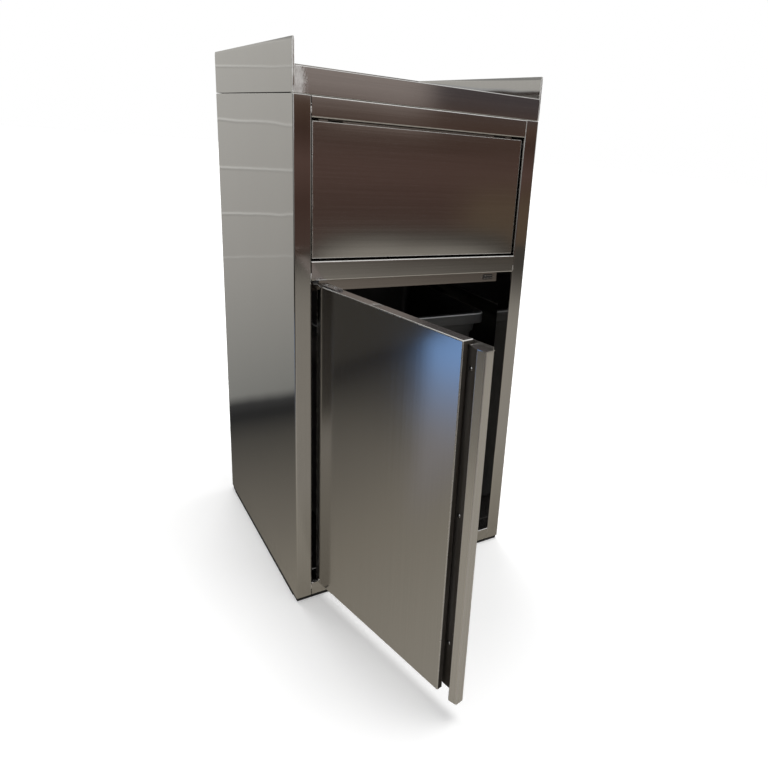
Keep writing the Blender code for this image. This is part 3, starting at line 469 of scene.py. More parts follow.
def bump(tree, height, strength, rise, normal=None):
    """A normal tipped by a height, on top of another normal where one is given."""
    inputs = {"Height": height, "Strength": strength, "Distance": rise}
    if normal is not None:
        inputs["Normal"] = normal
    return node(tree, "ShaderNodeBump", inputs).outputs[0]


def new_group(name, inputs, outputs):
    """An empty node group with named inputs and outputs, and its two end nodes."""
    group = bpy.data.node_groups.new(name, "ShaderNodeTree")
    for socket, kind, value in inputs:
        made = group.interface.new_socket(socket, in_out="INPUT", socket_type=kind)
        made.default_value = value
    for socket in outputs:
        group.interface.new_socket(socket, in_out="OUTPUT", socket_type="NodeSocketFloat")
    return group, group.nodes.new("NodeGroupInput").outputs, group.nodes.new("NodeGroupOutput").inputs


def use(tree, group, inputs):
    """Place a node group in a material, with its inputs, and return its outputs."""
    return node(tree, "ShaderNodeGroup", inputs, node_tree=group).outputs


def stretched_noise(tree, coordinates, stretch, scale, detail):
    """Noise on coordinates drawn out by a stretch along each axis."""
    drawn = vectors(tree, "MULTIPLY", coordinates, stretch)["Vector"]
    return node(tree, "ShaderNodeTexNoise", {"Vector": drawn, "Scale": scale, "Detail": detail}).outputs[0]


PLACE_INPUT = ("Coordinates", "NodeSocketVector", (0, 0, 0))


def grain_group():
    """Brushing lines: fine ones for the bump and broad ones for tone and gloss."""
    inputs = [PLACE_INPUT, ("Stretch", "NodeSocketVector", (1, 1, 1))]
    group, given, result = new_group("brushing_lines", inputs, ["Fine", "Broad"])
    fine = stretched_noise(group, given["Coordinates"], given["Stretch"], 1.0, 2.0)
    broad = stretched_noise(group, given["Coordinates"], given["Stretch"], 0.3, 3.0)
    group.links.new(fine, result["Fine"])
    group.links.new(broad, result["Broad"])
    return group


def waves_group():
    """The slight waviness of a thin sheet."""
    inputs = [PLACE_INPUT, ("Stretch", "NodeSocketVector", (3, 3, 3))]
    group, given, result = new_group("sheet_waves", inputs, ["Height"])
    swell = stretched_noise(group, given["Coordinates"], given["Stretch"], 1.0, 1.0)
    group.links.new(swell, result["Height"])
    return group


def marks_group():
    """Wiped patches and finger marks: soft blotches broken up by a finer noise."""
    inputs = [PLACE_INPUT, ("Size", "NodeSocketFloat", 7.0)]
    group, given, result = new_group("hand_marks", inputs, ["Marks"])
    settings = {"Vector": given["Coordinates"], "Scale": given["Size"], "Detail": 3.0, "Distortion": 0.6}
    blotch = spread(group, node(group, "ShaderNodeTexNoise", settings).outputs[0], 0.50, 0.74)
    fine = stretched_noise(group, given["Coordinates"], (90, 90, 90), 1.0, 2.0)
    group.links.new(sums(group, "MULTIPLY", blotch, spread(group, fine, 0.2, 0.8)), result["Marks"])
    return group


def dust_group():
    """Dust that settles near the floor: it fades out with height and is broken up by noise."""
    inputs = [PLACE_INPUT, ("Reach", "NodeSocketFloat", 0.10)]
    group, given, result = new_group("floor_dust", inputs, ["Dust"])
    height = node(group, "ShaderNodeSeparateXYZ", {0: given["Coordinates"]}).outputs["Z"]
    fade = spread(group, sums(group, "DIVIDE", height, given["Reach"]), 1.0, 0.1)
    speck = spread(group, stretched_noise(group, given["Coordinates"], (60, 60, 60), 1.0, 4.0), 0.35, 0.7)
    group.links.new(sums(group, "MULTIPLY", fade, speck), result["Dust"])
    return group


def patch_group():
    """A patch ground back after welding: a ragged blot about a centre, filled with crossed scratches."""
    inputs = [PLACE_INPUT, ("Centre", "NodeSocketVector", (0, 0, 0)), ("Radius", "NodeSocketFloat", 0.02)]
    group, given, result = new_group("ground_patch", inputs, ["Mask", "Scratches"])
    offset = vectors(group, "SUBTRACT", given["Coordinates"], given["Centre"])["Vector"]
    tall = vectors(group, "MULTIPLY", offset, (1, 1, 0.5))["Vector"]
    away = vectors(group, "LENGTH", tall)["Value"]
    ragged = stretched_noise(group, given["Coordinates"], (160, 160, 60), 1.0, 4.0)
    edge = raised(group, sums(group, "DIVIDE", away, given["Radius"]), ragged, 1.1)
    scratches = stretched_noise(group, given["Coordinates"], (700, 700, 160), 1.0, 4.0)
    mottle = spread(group, scratches, 0.30, 0.60, 0.45, 1.0)
    group.links.new(sums(group, "MULTIPLY", spread(group, edge, 1.7, 0.8), mottle), result["Mask"])
    group.links.new(scratches, result["Scratches"])
    return group


def edge_highlight_and_wear_group():
    """Painted highlights along folds, and pale ground edges: the attribute's share, broken up a little along
    its length.
    """
    inputs = [PLACE_INPUT, ("Fold", "NodeSocketFloat", 0.0)]
    group, given, result = new_group("edge_highlight_and_wear", inputs, ["Mask"])
    patchy = stretched_noise(group, given["Coordinates"], (45, 45, 45), 1.0, 3.0)
    broken = spread(group, patchy, 0.25, 0.65, 0.5, 1.0)
    group.links.new(sums(group, "MULTIPLY", given["Fold"], broken), result["Mask"])
    return group


def crown_group():
    """The crown of a folded panel, level over the middle and falling to its edges: (1 - x^4)(1 - z^4)."""
    inputs = [PLACE_INPUT, ("Centre", "NodeSocketVector", (0, 0, 0)), ("Half", "NodeSocketVector", (1, 1, 1))]
    group, given, result = new_group("panel_crown", inputs, ["Height"])
    offset = vectors(group, "SUBTRACT", given["Coordinates"], given["Centre"])["Vector"]
    share = vectors(group, "DIVIDE", offset, given["Half"])["Vector"]
    parts = node(group, "ShaderNodeSeparateXYZ", {0: share}).outputs
    falls = [sums(group, "SUBTRACT", 1.0, sums(group, "POWER", sums(group, "ABSOLUTE", parts[axis]), 4.0))
             for axis in ("X", "Z")]
    group.links.new(sums(group, "MULTIPLY", *falls), result["Height"])
    return group


def slot_shade_group():
    """Painted shade in the finger slot beyond a level of the given direction, broken up in runs down the
    sheet.
    """
    inputs = [PLACE_INPUT, ("Direction", "NodeSocketVector", (1, 0, 0)), ("Level", "NodeSocketFloat", 0.0)]
    group, given, result = new_group("painted_slot_shade", inputs, ["Mask"])
    reach = vectors(group, "DOT_PRODUCT", given["Coordinates"], given["Direction"])["Value"]
    beyond = spread(group, sums(group, "SUBTRACT", reach, given["Level"]), 0.0, 0.0003)
    runs = stretched_noise(group, given["Coordinates"], (90, 90, 6), 1.0, 4.0)
    broken = spread(group, runs, 0.2, 0.7, 1.0, 0.94)
    group.links.new(sums(group, "MULTIPLY", beyond, broken), result["Mask"])
    return group


GRAIN = grain_group()
WAVES = waves_group()
MARKS = marks_group()
DUST = dust_group()
PATCH = patch_group()
EDGE_HIGHLIGHT_AND_WEAR = edge_highlight_and_wear_group()
CROWN = crown_group()
SLOT_SHADE_GROUP = slot_shade_group()

# How brushing lines are drawn out, and a quarter turn of the direction in which they blur reflections
UPRIGHT_GRAIN = (1500.0, 1500.0, 9.0)
LENGTHWISE_GRAIN = (9.0, 1500.0, 1500.0)
EVEN_GRAIN = (700.0, 700.0, 700.0)
QUARTER_TURN = 0.25

# The palest and deepest tone of each steel, and the colours of painted highlights on folds and rims, of
# ground metal, of painted shade in the finger slot and of dust
STREAKY = ((0.625, 0.615, 0.600), (0.570, 0.560, 0.545))
EVEN = ((0.605, 0.595, 0.580), (0.585, 0.575, 0.560))
BRIGHT = ((0.740, 0.730, 0.710), (0.700, 0.690, 0.670))
# Darker tones that paint the shade on the recessed head stop
SHADED_TONES = ((0.430, 0.395, 0.375), (0.370, 0.340, 0.320))
# Painted highlight along folds, and the real pale of ground edges
FOLD_HIGHLIGHT_AND_GROUND = (0.78, 0.77, 0.75)
GROUND_BACK = (0.90, 0.89, 0.88)
# Painted shade in the finger slot
SLOT_SHADE_COLOUR = (0.030, 0.023, 0.016)
STEEL_DUST = (0.36, 0.34, 0.31)
PLASTIC_DUST = (0.20, 0.19, 0.17)
# Painted highlight on the bin's rim
RIM_HIGHLIGHT = (0.42, 0.43, 0.44)


def new_material(name):
    """A material, its nodes, its Principled shader and the object's coordinates."""
    material = bpy.data.materials.new(name)
    material.use_nodes = True
    tree = material.node_tree
    coordinates = tree.nodes.new("ShaderNodeTexCoord").outputs["Object"]
    return material, tree, tree.nodes["Principled BSDF"], coordinates


def steel_surface(tree, coordinates, grain, gloss, tones):
    """Colour, roughness and dullness of brushed steel: lines, hand marks, dust low down and a painted
    highlight on folds.

    Wear past 1 stands for ground edges, which lose some of their metal look.
    """
    marks = use(tree, MARKS, {"Coordinates": coordinates, "Size": 6.0})["Marks"]
    dust = use(tree, DUST, {"Coordinates": coordinates, "Reach": 0.10})["Dust"]
    fold = node(tree, "ShaderNodeAttribute", attribute_name=HIGHLIGHT_AND_WEAR_ATTRIBUTE).outputs["Fac"]
    lit_and_worn = use(tree, EDGE_HIGHLIGHT_AND_WEAR, {"Coordinates": coordinates, "Fold": fold})["Mask"]
    palest, deepest = tones
    colour = blend_colour(tree, spread(tree, grain["Broad"], 0.25, 0.75), deepest, palest)
    colour = blend_colour(tree, sums(tree, "MULTIPLY", dust, 0.20), colour, STEEL_DUST)
    # Painted highlight on folds, and the pale of ground edges
    colour = blend_colour(tree, sums(tree, "MULTIPLY", lit_and_worn, 0.8), colour, FOLD_HIGHLIGHT_AND_GROUND)
    rough = spread(tree, grain["Broad"], 0.25, 0.75, gloss * 0.92, gloss * 1.08)
    for mask, share in ((marks, 0.015), (dust, 0.06), (lit_and_worn, 0.16)):
        rough = raised(tree, rough, mask, share)
    ground = sums(tree, "MAXIMUM", sums(tree, "SUBTRACT", lit_and_worn, 1.0), 0.0)
    return colour, rough, sums(tree, "MULTIPLY", ground, 0.50)


def with_slot_shade(tree, coordinates, surface, slot_shade):
    """The surface with painted shade beyond a level of a direction: dark, rough and not metal."""
    colour, rough, dull = surface
    direction, level = slot_shade
    shaded = use(tree, SLOT_SHADE_GROUP, {"Coordinates": coordinates, "Direction": direction, "Level": level})["Mask"]
    # Painted shade in the finger slot
    colour = blend_colour(tree, shaded, colour, SLOT_SHADE_COLOUR)
    return colour, raised(tree, rough, shaded, 0.60), sums(tree, "ADD", dull, shaded)


def with_patch(tree, coordinates, surface, lines, patch):
    """The surface and its lines with a place ground back after welding: pale, rough, dull and scratched."""
    colour, rough, dull = surface
    centre, radius = patch
    place = use(tree, PATCH, {"Coordinates": coordinates, "Centre": centre, "Radius": radius})
    mask = place["Mask"]
    colour = blend_colour(tree, mask, colour, GROUND_BACK)
    surface = colour, raised(tree, rough, mask, 0.45), raised(tree, dull, mask, 0.35)
    scratch = sums(tree, "MULTIPLY", sums(tree, "SUBTRACT", place["Scratches"], 0.5), mask)
    return surface, raised(tree, lines, scratch, 12.0)


def steel_normal(tree, coordinates, lines, waves, crown):
    """The normal of a sheet: its waves, then a panel's crown where it has one, then the brushing lines."""
    swell = use(tree, WAVES, {"Coordinates": coordinates, "Stretch": (4.6, 4.6, 5.0)})["Height"]
    normal = bump(tree, swell, 1.0, waves)
    if crown:
        centre, half, rise = crown
        dome = use(tree, CROWN, {"Coordinates": coordinates, "Centre": centre, "Half": half})["Height"]
        normal = bump(tree, dome, 1.0, rise, normal)
    return bump(tree, lines, 0.10, 0.00004, normal)


def brushed_steel(name, stretch, tones, gloss, waves, drawn_out=0.0, turn=0.0, patch=None, crown=None,
                  slot_shade=None):
    """Brushed stainless: lines in tone, gloss and bump, sheet waves, a painted highlight on folds, and dust
    low down.

    tones are the palest and deepest tone, gloss is the roughness, waves the height of the waviness,
    drawn_out the anisotropy and turn its direction. patch is the centre and radius of a place ground back
    after welding, crown the centre, half size and height of a crowned panel, and the last argument the
    direction and level beyond which shade is painted dark into the finger slot.
    """
    material, tree, shader, coordinates = new_material(name)
    grain = use(tree, GRAIN, {"Coordinates": coordinates, "Stretch": stretch})
    surface = steel_surface(tree, coordinates, grain, gloss, tones)
    lines = grain["Fine"]
    if slot_shade:
        surface = with_slot_shade(tree, coordinates, surface, slot_shade)
    if patch:
        surface, lines = with_patch(tree, coordinates, surface, lines, patch)
    colour, rough, dull = surface
    fill(tree, shader, {
        "Base Color": colour,
        "Roughness": rough,
        "Metallic": sums(tree, "SUBTRACT", 1.0, dull),
        "Normal": steel_normal(tree, coordinates, lines, waves, crown),
        "Specular IOR Level": 0.1,
        "Anisotropic": drawn_out,
        "Anisotropic Rotation": turn,
    })
    return material


def plain_metal(name, pale, deep, gloss):
    """Turned or plated steel: cloudy tone and gloss with a fine tooth."""
    material, tree, shader, coordinates = new_material(name)
    cloud = stretched_noise(tree, coordinates, (160, 160, 160), 1.0, 4.0)
    tooth = stretched_noise(tree, coordinates, (2500, 2500, 2500), 1.0, 1.0)
    fill(tree, shader, {
        "Base Color": blend_colour(tree, spread(tree, cloud, 0.3, 0.7), deep, pale),
        "Roughness": spread(tree, cloud, 0.3, 0.7, gloss * 1.2, gloss * 0.85),
        "Normal": bump(tree, tooth, 0.2, 0.00003),
        "Metallic": 1.0,
    })
    return material


def moulded(name, pale, deep, gloss, tooth_size, tooth_depth, dusty=0.05):
    """A moulded plastic or rubber: cloudy tone, a pebbled tooth, scuffed gloss, a painted highlight on rims
    and some dust.
    """
    material, tree, shader, coordinates = new_material(name)
    cloud = stretched_noise(tree, coordinates, (25, 25, 25), 1.0, 5.0)
    tooth = stretched_noise(tree, coordinates, (tooth_size, tooth_size, tooth_size), 1.0, 2.0)
    marks = use(tree, MARKS, {"Coordinates": coordinates, "Size": 14.0})["Marks"]
    dust = use(tree, DUST, {"Coordinates": coordinates, "Reach": 0.09})["Dust"]
    rim_highlight = node(tree, "ShaderNodeAttribute", attribute_name=HIGHLIGHT_AND_WEAR_ATTRIBUTE).outputs["Fac"]
    colour = blend_colour(tree, spread(tree, cloud, 0.3, 0.7), deep, pale)
    colour = blend_colour(tree, sums(tree, "MULTIPLY", dust, dusty), colour, PLASTIC_DUST)
    rough = spread(tree, cloud, 0.3, 0.7, gloss * 0.9, gloss * 1.1)
    fill(tree, shader, {
        # Painted highlight on the rim
        "Base Color": blend_colour(tree, rim_highlight, colour, RIM_HIGHLIGHT),
        "Roughness": sums(tree, "SUBTRACT", rough, sums(tree, "MULTIPLY", marks, 0.10)),
        "Normal": bump(tree, tooth, 0.5, tooth_depth),
    })
    return material


# The place on the lip that is ground back, and how far the painted shade reaches in from the edges of the
# finger slot
PATCH_INSET = 0.011
PATCH_RADIUS = 0.020
FLANGE_SHADE_INSET = 0.0003
BAR_SHADE_INSET = 0.0028
DOOR_START = DOOR_PIVOT @ DOOR_AXES[0]
LIP_PATCH = ((-RIGHT + PATCH_INSET, FRONT, CARCASS_TOP + LIP / 2), PATCH_RADIUS)
# Painted shade on the door skin's flange and on the back of the pull's finger slot
FLANGE_SHADE = (DOOR_AXES[0], DOOR_START + SKIN_HIGH[0] - FLANGE_SHADE_INSET)
SLOT_BACK_SHADE = (-DOOR_AXES[0], -DOOR_START - PULL_HIGH[0] + PULL_BAR - BAR_SHADE_INSET)

# The flap's crown, whose middle lies above the flap's by a share of its half height
FLAP_LOW, FLAP_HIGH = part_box("flap_panel")
FLAP_HALF = (FLAP_HIGH - FLAP_LOW) / 2
CROWN_SHIFT = 0.2
CROWN_RISE = 0.0026
FLAP_CROWN = (FLAP_HIGH - FLAP_HALF * Vector((1, 1, 1 - CROWN_SHIFT)),
              FLAP_HALF * Vector((1, 1, 1 + CROWN_SHIFT)), CROWN_RISE)

SIDE_STEEL = brushed_steel("side_steel", UPRIGHT_GRAIN, EVEN, gloss=0.10, waves=0.0014, drawn_out=0.90)
UPSTAND_STEEL = brushed_steel("upstand_steel", UPRIGHT_GRAIN, EVEN, gloss=0.10, waves=0.0022, drawn_out=0.80)
DOOR_STEEL = brushed_steel("door_steel", UPRIGHT_GRAIN, EVEN, gloss=0.13, waves=0.0008, drawn_out=0.30,
                           turn=QUARTER_TURN, slot_shade=FLANGE_SHADE)
RAIL_STEEL = brushed_steel("rail_steel", LENGTHWISE_GRAIN, STREAKY, gloss=0.11, waves=0.0004, drawn_out=0.40,
                           turn=QUARTER_TURN)
FLAP_STEEL = brushed_steel("flap_steel", LENGTHWISE_GRAIN, STREAKY, gloss=0.12, waves=0.0007, drawn_out=0.40,
                           turn=QUARTER_TURN, crown=FLAP_CROWN)
PULL_STEEL = brushed_steel("pull_steel", UPRIGHT_GRAIN, BRIGHT, gloss=0.20, waves=0.0003, drawn_out=0.50,
                           slot_shade=SLOT_BACK_SHADE)
LIP_STEEL = brushed_steel("lip_steel", LENGTHWISE_GRAIN, STREAKY, gloss=0.11, waves=0.0006, drawn_out=0.40,
                          turn=QUARTER_TURN, patch=LIP_PATCH)
# The head stop's darker tones paint its shade
SHADED_STOP_STEEL = brushed_steel("shaded_stop_steel", LENGTHWISE_GRAIN, SHADED_TONES, gloss=0.16, waves=0.0004, drawn_out=0.40,
                           turn=QUARTER_TURN)
LEVEL_STEEL = brushed_steel("level_steel", EVEN_GRAIN, EVEN, gloss=0.08, waves=0.0002)
TRAY_STEEL = brushed_steel("tray_steel", EVEN_GRAIN, BRIGHT, gloss=0.38, waves=0.0004)
INNER_STEEL = brushed_steel("inner_steel", EVEN_GRAIN, EVEN, gloss=0.22, waves=0.0006)
WELD_STEEL = plain_metal("weld_steel", (0.88, 0.87, 0.85), (0.62, 0.61, 0.60), gloss=0.34)
HARDWARE_STEEL = plain_metal("hardware_steel", (0.62, 0.62, 0.62), (0.48, 0.48, 0.49), gloss=0.24)
BIN_PLASTIC = moulded("bin_plastic", (0.016, 0.017, 0.018), (0.011, 0.012, 0.013), gloss=0.45,
                      tooth_size=900, tooth_depth=0.00012, dusty=0.1)
# Black rubber, which on the base runners also paints the contact shadow
RUBBER_AND_BASE_SHADOW = moulded("rubber_and_base_shadow", (0.010, 0.010, 0.010), (0.006, 0.006, 0.006), gloss=0.80,
                       tooth_size=700, tooth_depth=0.00010)
CATCH_PLASTIC = moulded("catch_plastic", (0.014, 0.014, 0.015), (0.009, 0.009, 0.01), gloss=0.42,
                        tooth_size=1200, tooth_depth=0.00006, dusty=0.0)
NYLON = moulded("black_nylon", (0.022, 0.022, 0.023), (0.016, 0.016, 0.017), gloss=0.45,
                tooth_size=1200, tooth_depth=0.00005)


# Folded sheet pieces of the carcass

def side_sheet(name, node_name, side):
    """A side panel: its section in plan runs round the rear flange, the side, the stile and the jamb."""
    corners = [
        (side * (RIGHT - REAR_FLANGE), BACK),
        (side * RIGHT, BACK),
        (side * RIGHT, FRONT),
        (side * JAMB, FRONT),
        (side * JAMB, FRAME_BACK),
    ]
    if side > 0:
        corners.reverse()
    shells = [swept_sheet(corners, FOLD, SHEET, (BASE_LEVEL, CARCASS_TOP), upright, EDGE_ROLL, lit_and_worn=0.3)]
    for width, level in ((FOOT_FLANGE, BASE_LEVEL + GAP), (HEAD_FLANGE, CARCASS_TOP - GAP - SHEET)):
        across = sorted((side * (RIGHT - EDGE_ROLL - SHEET / 3), side * (RIGHT - width)))
        low = (across[0], FRAME_BACK + FOLD, level)
        high = (across[1], BACK - FOLD - SHEET, level + SHEET)
        shells.append(rounded_block(low, high, SHEET / 4))
    new_piece(name, shells, "carcass", [node_name], [SIDE_STEEL, LEVEL_STEEL])


def rail_sheet(name, node_name):
    """A front rail: a channel section seen from the side, carried between the jambs."""
    low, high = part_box(node_name)
    corners = [(FRAME_BACK, high.z), (FRONT, high.z), (FRONT, low.z), (FRAME_BACK, low.z)]
    shell = swept_sheet(corners, FOLD, SHEET, (-RAIL_END, RAIL_END), crosswise)
    new_piece(name, [shell], "carcass", [node_name], [RAIL_STEEL, LEVEL_STEEL])


def weld_tack(length, radius):
    """A weld tack about Z: a long blob whose radius falls as (1 - u^4)^(1/2), with ripples along it."""
    ripple = 0.10
    ripples = 5
    along = np.linspace(-1, 1, 33)[1:-1]
    reach = radius * np.sqrt(1 - along ** 4) * (1 + ripple * np.cos(along * ripples * np.pi))
    return loft(turned_loops(reach, along * length / 2, steps=TACK_STEPS))


def frame_welds():
    """Tacks in the joints between the stiles and the rails, near the lower edge of each rail."""
    tack = weld_tack(length=0.014, radius=0.0016)
    beside_joint = 0.0006
    sunk = 0.0011
    shells = []
    for node_name, rise in (("top_rail", 0.014), ("mid_rail", 0.010), ("bottom_rail", 0.024)):
        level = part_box(node_name)[0].z + rise
        for side in (-1, 1):
            seat = (side * (JAMB + beside_joint), FRONT + sunk, level)
            shells.append(placed(tack, seat, (0, 0, 1)))
    new_piece("frame_welds", shells, "carcass", [], [WELD_STEEL])


def tray_plate():
    """The plate of the worktop, folded down into the lip and back under it."""
    lip_face = FRONT + LIP_SETBACK
    corners = [
        (TRAY_REAR, TRAY_LEVEL),
        (lip_face, TRAY_LEVEL),
        (lip_face, LIP_BOTTOM),
        (lip_face + LIP_RETURN, LIP_BOTTOM),
    ]
    plate = swept_sheet(corners, LIP_FOLD, TOP_SHEET, (-TRAY_REACH, TRAY_REACH), crosswise, lit_and_worn=0.0)
    new_piece("tray_plate", [plate], "carcass", ["worktop"], [LIP_STEEL, TRAY_STEEL])


def hemmed_section(bottom, top):
    """A hemmed band's section as (offset, height): straight sides that lean in over the hem, rounded ends."""
    half = HEM / 2
    inset, depth = quarter_profile(HEM_EDGE, EDGE_STEPS)
    offsets = np.concatenate([half - inset, [half, half], half - HEM_LEAN - inset[::-1]])
    heights = np.concatenate([bottom + depth, [top - HEM_BAND - HOLD, top - HEM_BAND], top - depth[::-1]])
    return np.concatenate([np.stack([offsets, heights], 1), np.stack([-offsets, heights], 1)[::-1]])


def upstand_path():
    """The upstands in plan: points, normals, insets and wear round three sides, with ground, rounded ends."""
    corners = [(-TRAY_REACH, FRONT), (-TRAY_REACH, TRAY_REAR), (TRAY_REACH, TRAY_REAR), (TRAY_REACH, FRONT)]
    path, normals = bent_line(corners, UPSTAND_FOLD)[:2]
    inset, depth = quarter_profile(HEM_EDGE, EDGE_STEPS)
    inset = np.append(inset, [0, 0])
    depth = np.append(depth, [GROUND_END, GROUND_END + HOLD])
    ends = np.append(np.full(len(inset) - 1, GROUND), 0)
    rearward = np.array([0.0, 1.0])
    path = np.concatenate([path[:1] + depth[:, None] * rearward, path[1:-1],
                           path[-1:] + depth[::-1, None] * rearward])
    normals = np.concatenate([np.repeat(normals[:1], len(depth), 0), normals[1:-1],
                              np.repeat(normals[-1:], len(depth), 0)])
    plain = np.zeros(len(path) - 2 * len(inset))
    insets = np.concatenate([inset, plain, inset[::-1]])
    highlight_and_wear = np.concatenate([ends, plain, ends[::-1]])
    return path, normals, insets, highlight_and_wear


def tray_upstands():
    """The hemmed band round three sides of the tray: its section is carried along its path.

    Where the path has an inset, the section is drawn in by it towards its middle.
    """
    path, normals, insets, highlight_and_wear = upstand_path()
    foot = LIP_BOTTOM + SEAM
    section = hemmed_section(foot, UPSTAND_TOP)
    middle = np.array([0, (foot + UPSTAND_TOP) / 2])
    loops = []
    for point, normal, step_in in zip(path, normals, insets):
        share = 1 - step_in / (section.max(0) - middle)
        drawn = (section - middle) * share + middle
        loops.append(np.column_stack([point + drawn[:, :1] * normal, drawn[:, 1]]))
    band = loft(loops, highlight_and_wear)
    finishes = [UPSTAND_STEEL, LEVEL_STEEL]
    new_piece("tray_upstands", [band], "carcass", ["worktop"], finishes, HEM_SHARP)


def base_runners_and_contact_shadow():
    """The black rubber strips under the base, with rounded edges, each widened a little on its outer side so
    that its black also paints the contact shadow along the foot.
    """
    # Widened so that the runners' black also paints the contact shadow
    shadow_widening = 0.0018
    edge = 0.0012
    for place, facing in (("front", (0, -1)), ("rear", (0, 1)), ("left", (-1, 0)), ("right", (1, 0))):
        node_name = f"{place}_base_strip"
        low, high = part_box(node_name)
        bulge = Vector((*facing, 0)) * shadow_widening
        if min(facing) < 0:
            low = low + bulge
        else:
            high = high + bulge
        runner_and_contact_shadow = rounded_block(low, high, edge)
        new_piece(f"{place}_runner", [runner_and_contact_shadow], "carcass", [node_name], [RUBBER_AND_BASE_SHADOW])


# The flap and the door

def flap_sheet():
    """The push flap: a tray whose face looks forward."""
    middle = (FLAP_LOW + FLAP_HIGH) / 2
    loops, highlight_and_wear = folded_tray(FLAP_HALF.x, FLAP_HALF.z, FLAP_HIGH.y - FLAP_LOW.y, TRAY_FOLD)
    shell = loft(loops + np.array([middle.x, FLAP_LOW.y, middle.z]), highlight_and_wear)
    new_piece("flap_sheet", [shell], "flap", ["flap_panel"], [FLAP_STEEL, LEVEL_STEEL])


def door_sheet():
    """The door's outer skin: a tray on the door, its edge cut back to a lip along the finger slot."""
    middle = (SKIN_LOW + SKIN_HIGH) / 2
    half = (SKIN_HIGH - SKIN_LOW) / 2
    slot = (PULL_LOW[0] - GAP - middle[0], CAP_HIGH[2] - middle[2], PULL_LIP)
    loops, highlight_and_wear = folded_tray(half[0], half[2], SKIN_HIGH[1], TRAY_FOLD, slot)
    shell = loft(loops + np.array([middle[0], 0, middle[2]]), highlight_and_wear)
    finishes = [DOOR_STEEL, LEVEL_STEEL]
    new_piece("door_sheet", [on_door(shell)], "door", ["door_outer_skin"], finishes)


def door_pull():
    """The pull: its section in plan runs round the bar's return, leaning face, edge and the slot's back."""
    right, back = PULL_HIGH[:2]
    bar_return = (right - PULL_BAR, PULL_RETURN)
    bar_front = (right - PULL_BAR, 0)
    bar_edge = (right, PULL_LEAN)
    corners = [bar_return, bar_front, bar_edge, (right, back), (PULL_LOW[0], back)]
    channel = swept_sheet(corners, FOLD, SHEET, (PULL_LOW[2], PULL_HIGH[2]), upright)
    finishes = [PULL_STEEL, LEVEL_STEEL]
    new_piece("pull_channel", [on_door(channel)], "door", ["handle_channel"], finishes)
    outline = [(CAP_LOW[0], PULL_LIP), bar_front, bar_edge, (right, back), (CAP_LOW[0], back)]
    cap = prism(outline, CAP_LOW[2], CAP_HIGH[2])
    new_piece("pull_cap", [on_door(cap)], "door", ["handle_top_cap"], finishes)


# Screws, rivets, the bin, and finishes of the solids that are kept

def cross_screw(length, rise):
    """A screw with a cross recess: rings from the recess over the crown of its head to the shank's end.

    As u runs from 0 beside the recess to 1 at the rim, the crown falls as 1 - 0.6 * u^2.
    """
    recess = [0.0011, 0.0018]
    waist = 0.40
    chamfer = 0.0006
    shank_end = 0.0016
    crown = np.linspace(0.55, 1.0, 6)
    share = (crown - crown[0]) / (1 - crown[0])
    radii = np.concatenate([recess, HEAD_RADIUS * crown,
                            [HEAD_RADIUS, SHANK_RADIUS, SHANK_RADIUS, shank_end]])
    heights = np.concatenate([[rise / 3, rise], rise * (1 - 0.6 * share ** 2),
                              [0, 0, chamfer - length, -length]])
    waists = np.concatenate([[waist, waist], np.ones(len(radii) - 2)])
    return loft(turned_loops(radii, heights, waists))


def blind_rivet():
    """A blind rivet: a low dome with the mouth of its mandrel in the middle, on a short shank.

    The dome falls along a circle, as (1 - (0.94 * u)^2)^(1/2) with u its share of the head's radius.
    """
    rise = 0.0014
    shank = 0.0060
    mouth_radii = [0.0009, 0.0012]
    mouth_heights = [0.0004, 0.0013]
    crown = np.linspace(0.35, 1.0, 7)
    dome = np.sqrt(1 - (0.94 * crown) ** 2)
    radii = np.concatenate([mouth_radii, HEAD_RADIUS * crown, [HEAD_RADIUS, SHANK_RADIUS, SHANK_RADIUS]])
    return loft(turned_loops(radii, np.concatenate([mouth_heights, rise * dome / dome[0], [0, 0, -shank]])))


def fastener(name, node_name, shell, body):
    """A screw or rivet as a piece in place of its solid."""
    new_piece(name, [shell], body, [node_name], [HARDWARE_STEEL])


def door_screws():
    """The screws in the back of the finger slot, and the flat ones on top of the upper pivot's arm."""
    screw = cross_screw(SHORT_SHANK, SCREW_HEAD)
    for number in (1, 2, 3):
        node_name = f"door_edge_screw_{number}"
        low, high = door_span(node_name)
        middle = (low + high) / 2
        seat = (middle[0], low[1] + SCREW_HEAD, middle[2])
        fastener(f"slot_screw_{number}", node_name, on_door(placed(screw, seat, (0, -1, 0))), "door")
    flat = cross_screw(LONG_SHANK, FLAT_HEAD)
    for number in (1, 2):
        node_name = f"top_pivot_screw_{number}"
        low, high = door_span(node_name)
        middle = (low + high) / 2
        seat = (middle[0], middle[1], high[2] - SCREW_HEAD)
        fastener(f"pivot_screw_{number}", node_name, on_door(placed(flat, seat, (0, 0, 1))), "door")


def carcass_fixings():
    """The screws behind the catch and the rivets of the back, all with their heads to the rear."""
    screw = cross_screw(SHORT_SHANK, SCREW_HEAD)
    for number in (1, 2):
        node_name = f"catch_screw_{number}"
        low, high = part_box(node_name)
        seat = ((low.x + high.x) / 2, high.y - SCREW_HEAD, (low.z + high.z) / 2)
        fastener(f"catch_fixing_{number}", node_name, placed(screw, seat, (0, 1, 0)), "carcass")
    rivet = blind_rivet()
    for number in range(1, 11):
        node_name = f"back_panel_rivet_{number}"
        low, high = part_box(node_name)
        seat = ((low.x + high.x) / 2, BACK + GAP, (low.z + high.z) / 2)
        fastener(f"back_rivet_{number}", node_name, placed(rivet, seat, (0, 1, 0)), "carcass")


